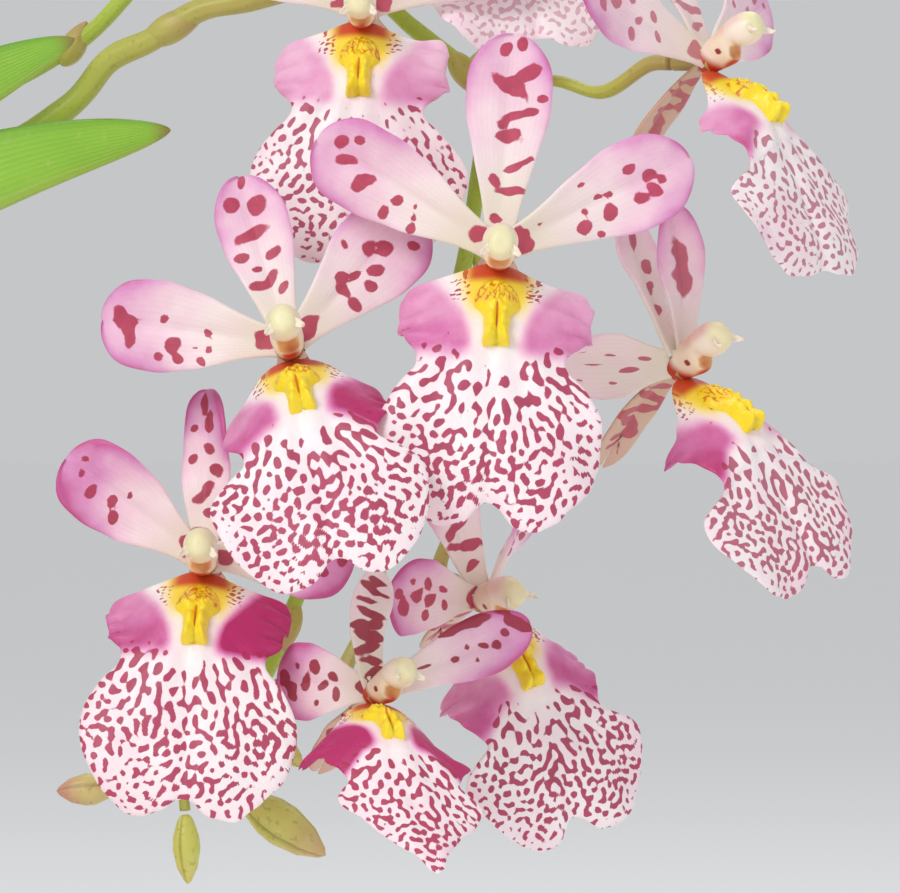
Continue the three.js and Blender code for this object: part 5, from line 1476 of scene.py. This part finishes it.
root_spots = [spot for path in root_paths() for spot in spline(path, count=12)]


def clear_of_plant(x, y):
    """Whether a place on the mix lies clear of the fans, stems and roots."""
    for fan in FANS:
        dx, dy = x - fan["at"][0], y - fan["at"][1]
        turn = radians(fan["turn"])
        along, across = dx * cos(turn) + dy * sin(turn), dy * cos(turn) - dx * sin(turn)
        if np.hypot(along / FAN_CLEAR[0], across / FAN_CLEAR[1]) < 1:
            return False
    spots = [PEDUNCLE[0], YOUNG_SPIKE[0], *root_spots]
    return all(np.hypot(x - spot[0], y - spot[1]) > STEM_CLEAR for spot in spots)


rng = np.random.default_rng(3)
for k in range(SMALL_CHIPS):
    reach, turn = (mix_radius - 3) * np.sqrt(rng.uniform()), rng.uniform(0, 2 * pi)
    x, y = reach * cos(turn), reach * sin(turn)
    length = rng.uniform(2.5, 6)
    tilt = rng.normal(0, 0.25, 2)
    if clear_of_plant(x, y):
        size = [length, length * rng.uniform(0.4, 0.8), rng.uniform(0.9, 1.8)]
        place = [x, y, MIX_TOP + rng.uniform(-0.6, 1.2)]
        chip(bark, place, size, turned_by(*tilt, turn * 3), 50 + k, rings=8, sides=12)
bark.build("bark_fine", "bark", "potting_mix")


# Pot
def turned_form(piece, skin, profile, rough, sides=144):
    """A closed turned form whose profile starts and ends on the axis, with relief by height and turn."""
    profile = np.array(profile, float)
    turns = 2 * pi * np.arange(sides) / sides
    ring = profile[1:-1]
    radius = ring[:, :1] + rough(ring[:, 1:], turns)
    points = np.stack([radius * np.cos(turns), radius * np.sin(turns), ring[:, 1:] + 0 * turns], -1)
    points = np.concatenate([points.reshape(-1, 3), [[0, 0, profile[0, 1]], [0, 0, profile[-1, 1]]]])
    height = points[:, 2]
    pale = 0.5 * (1 - rise(height, 0, 12)) + 0.4 * rise(height, POT_HEIGHT - 5, POT_HEIGHT)
    piece.add(points, capped_faces(len(ring), sides), skin, warm=pale)


def fill(corners):
    """Points along straight lines between corners, about 1 mm apart, so a form can carry fine relief."""
    line = [corners[0]]
    for start, end in zip(corners, corners[1:]):
        count = max(1, int(np.hypot(end[0] - start[0], end[1] - start[1])))
        for k in range(1, count + 1):
            line.append((mix(start[0], end[0], k / count), mix(start[1], end[1], k / count)))
    return line


band = POT_HEIGHT - RIM_HEIGHT
inside_top = pot_inside(POT_HEIGHT)
profile = fill([
    (0, 0), (POT_BASE_RADIUS - 1.2, 0), (POT_BASE_RADIUS - 0.4, 0.25), (POT_BASE_RADIUS, 1.1),
    (pot_outside(band) - 0.1, band - 0.5), (pot_outside(band) + 0.2, band),
    (POT_TOP_RADIUS - 1.0, band + 0.3), (POT_TOP_RADIUS - 0.6, band + 1),
    (POT_TOP_RADIUS - 0.1, POT_HEIGHT - 1.4), (POT_TOP_RADIUS - 0.4, POT_HEIGHT - 0.5),
    (POT_TOP_RADIUS - 1.2, POT_HEIGHT), (inside_top + 1, POT_HEIGHT), (inside_top + 0.3, POT_HEIGHT - 0.3),
    (pot_inside(POT_HEIGHT - 1), POT_HEIGHT - 1), (pot_inside(POT_FLOOR + 1), POT_FLOOR + 1),
    (pot_inside(POT_FLOOR) - 0.8, POT_FLOOR), (0, POT_FLOOR),
])
throwing = ripples(31, 6, 0.3, 1.2)


def clay_relief(z, turns):
    """Faint rings from the wheel and slow unevenness, but none on the foot."""
    rings = 0.07 * np.sin(2.3 * z + 0.6 * np.sin(turns + 0.21 * z)) + 0.04 * np.sin(5.1 * z + np.cos(turns))
    flat = 0 * z * turns
    slow = 0.05 * throwing(np.stack([np.cos(turns) * 6 + flat, np.sin(turns) * 6 + flat, z * 0.4 + flat], -1))
    return (rings + slow) * rise(z, 0.6, 3) - 0.06


pot = Piece([CLAY])
turned_form(pot, CLAY, profile, clay_relief)
pot = pot.build("pot_fine", "clay", "pot")
for k in range(DRAIN_HOLES):
    turn = 2 * pi * (k + 0.25) / DRAIN_HOLES
    place = [DRAIN_OFFSET * cos(turn) * MM, DRAIN_OFFSET * sin(turn) * MM, POT_FLOOR / 2 * MM]
    bpy.ops.mesh.primitive_cylinder_add(vertices=48, radius=DRAIN_RADIUS * MM, depth=0.02, location=place)
    drill = bpy.context.object
    cut = pot.modifiers.new("drain", "BOOLEAN")
    cut.object = drill
    cut.solver = "EXACT"
    bpy.context.view_layer.update()
    shaped = bpy.data.meshes.new_from_object(pot.evaluated_get(bpy.context.evaluated_depsgraph_get()))
    pot.modifiers.clear()
    pot.data = shaped
    bpy.data.objects.remove(drill)
pot.data.materials.clear()
pot.data.materials.append(CLAY)


# Floor: 60 m, so that its far edge melts into the background
bpy.ops.mesh.primitive_plane_add(size=60, location=(0, 0, 0))
floor = bpy.context.object
floor.name = "floor"
floor_skin = Skin("floor", 0.9)
floor.data.materials.append(floor_skin.paint(tone(253, 253, 253)))

# Light
world = bpy.data.worlds.new("studio")
bpy.context.scene.world = world
world.use_nodes = True
background = world.node_tree.nodes["Background"]
background.inputs["Color"].default_value = tone(220, 221, 223)
background.inputs["Strength"].default_value = 0.78


def softbox(name, place, aim, size, power):
    """A square area light in metres and watts, turned to aim at a point."""
    light = bpy.data.lights.new(name, "AREA")
    light.size = size
    light.energy = power
    made = bpy.data.objects.new(name, light)
    made.location = place
    made.rotation_euler = (Vector(aim) - Vector(place)).to_track_quat("-Z", "Y").to_euler()
    bpy.context.scene.collection.objects.link(made)


spray_middle = SPRAY * MM
softbox("key", (-0.3, -0.55, 0.5), spray_middle, 0.3, 2.7)
softbox("fill", (0.6, -0.45, 0.2), spray_middle, 0.5, 0.4)
softbox("back", (0.2, 0.35, 0.75), spray_middle, 0.4, 1.2)

# Camera: the photograph shows 60 mm of the spray, seen level from the front.
FRAME_WIDTH = 0.060
CAMERA_AWAY = 0.420
camera_data = bpy.data.cameras.new("camera")
camera_data.sensor_width = 36
camera_data.lens = 36 * CAMERA_AWAY / FRAME_WIDTH
camera = bpy.data.objects.new("camera", camera_data)
camera.location = (spray_middle[0], -CAMERA_AWAY, spray_middle[2])
camera.rotation_euler = (pi / 2, 0, 0)
bpy.context.scene.collection.objects.link(camera)
bpy.context.scene.camera = camera
bpy.context.scene.view_settings.view_transform = "Standard"
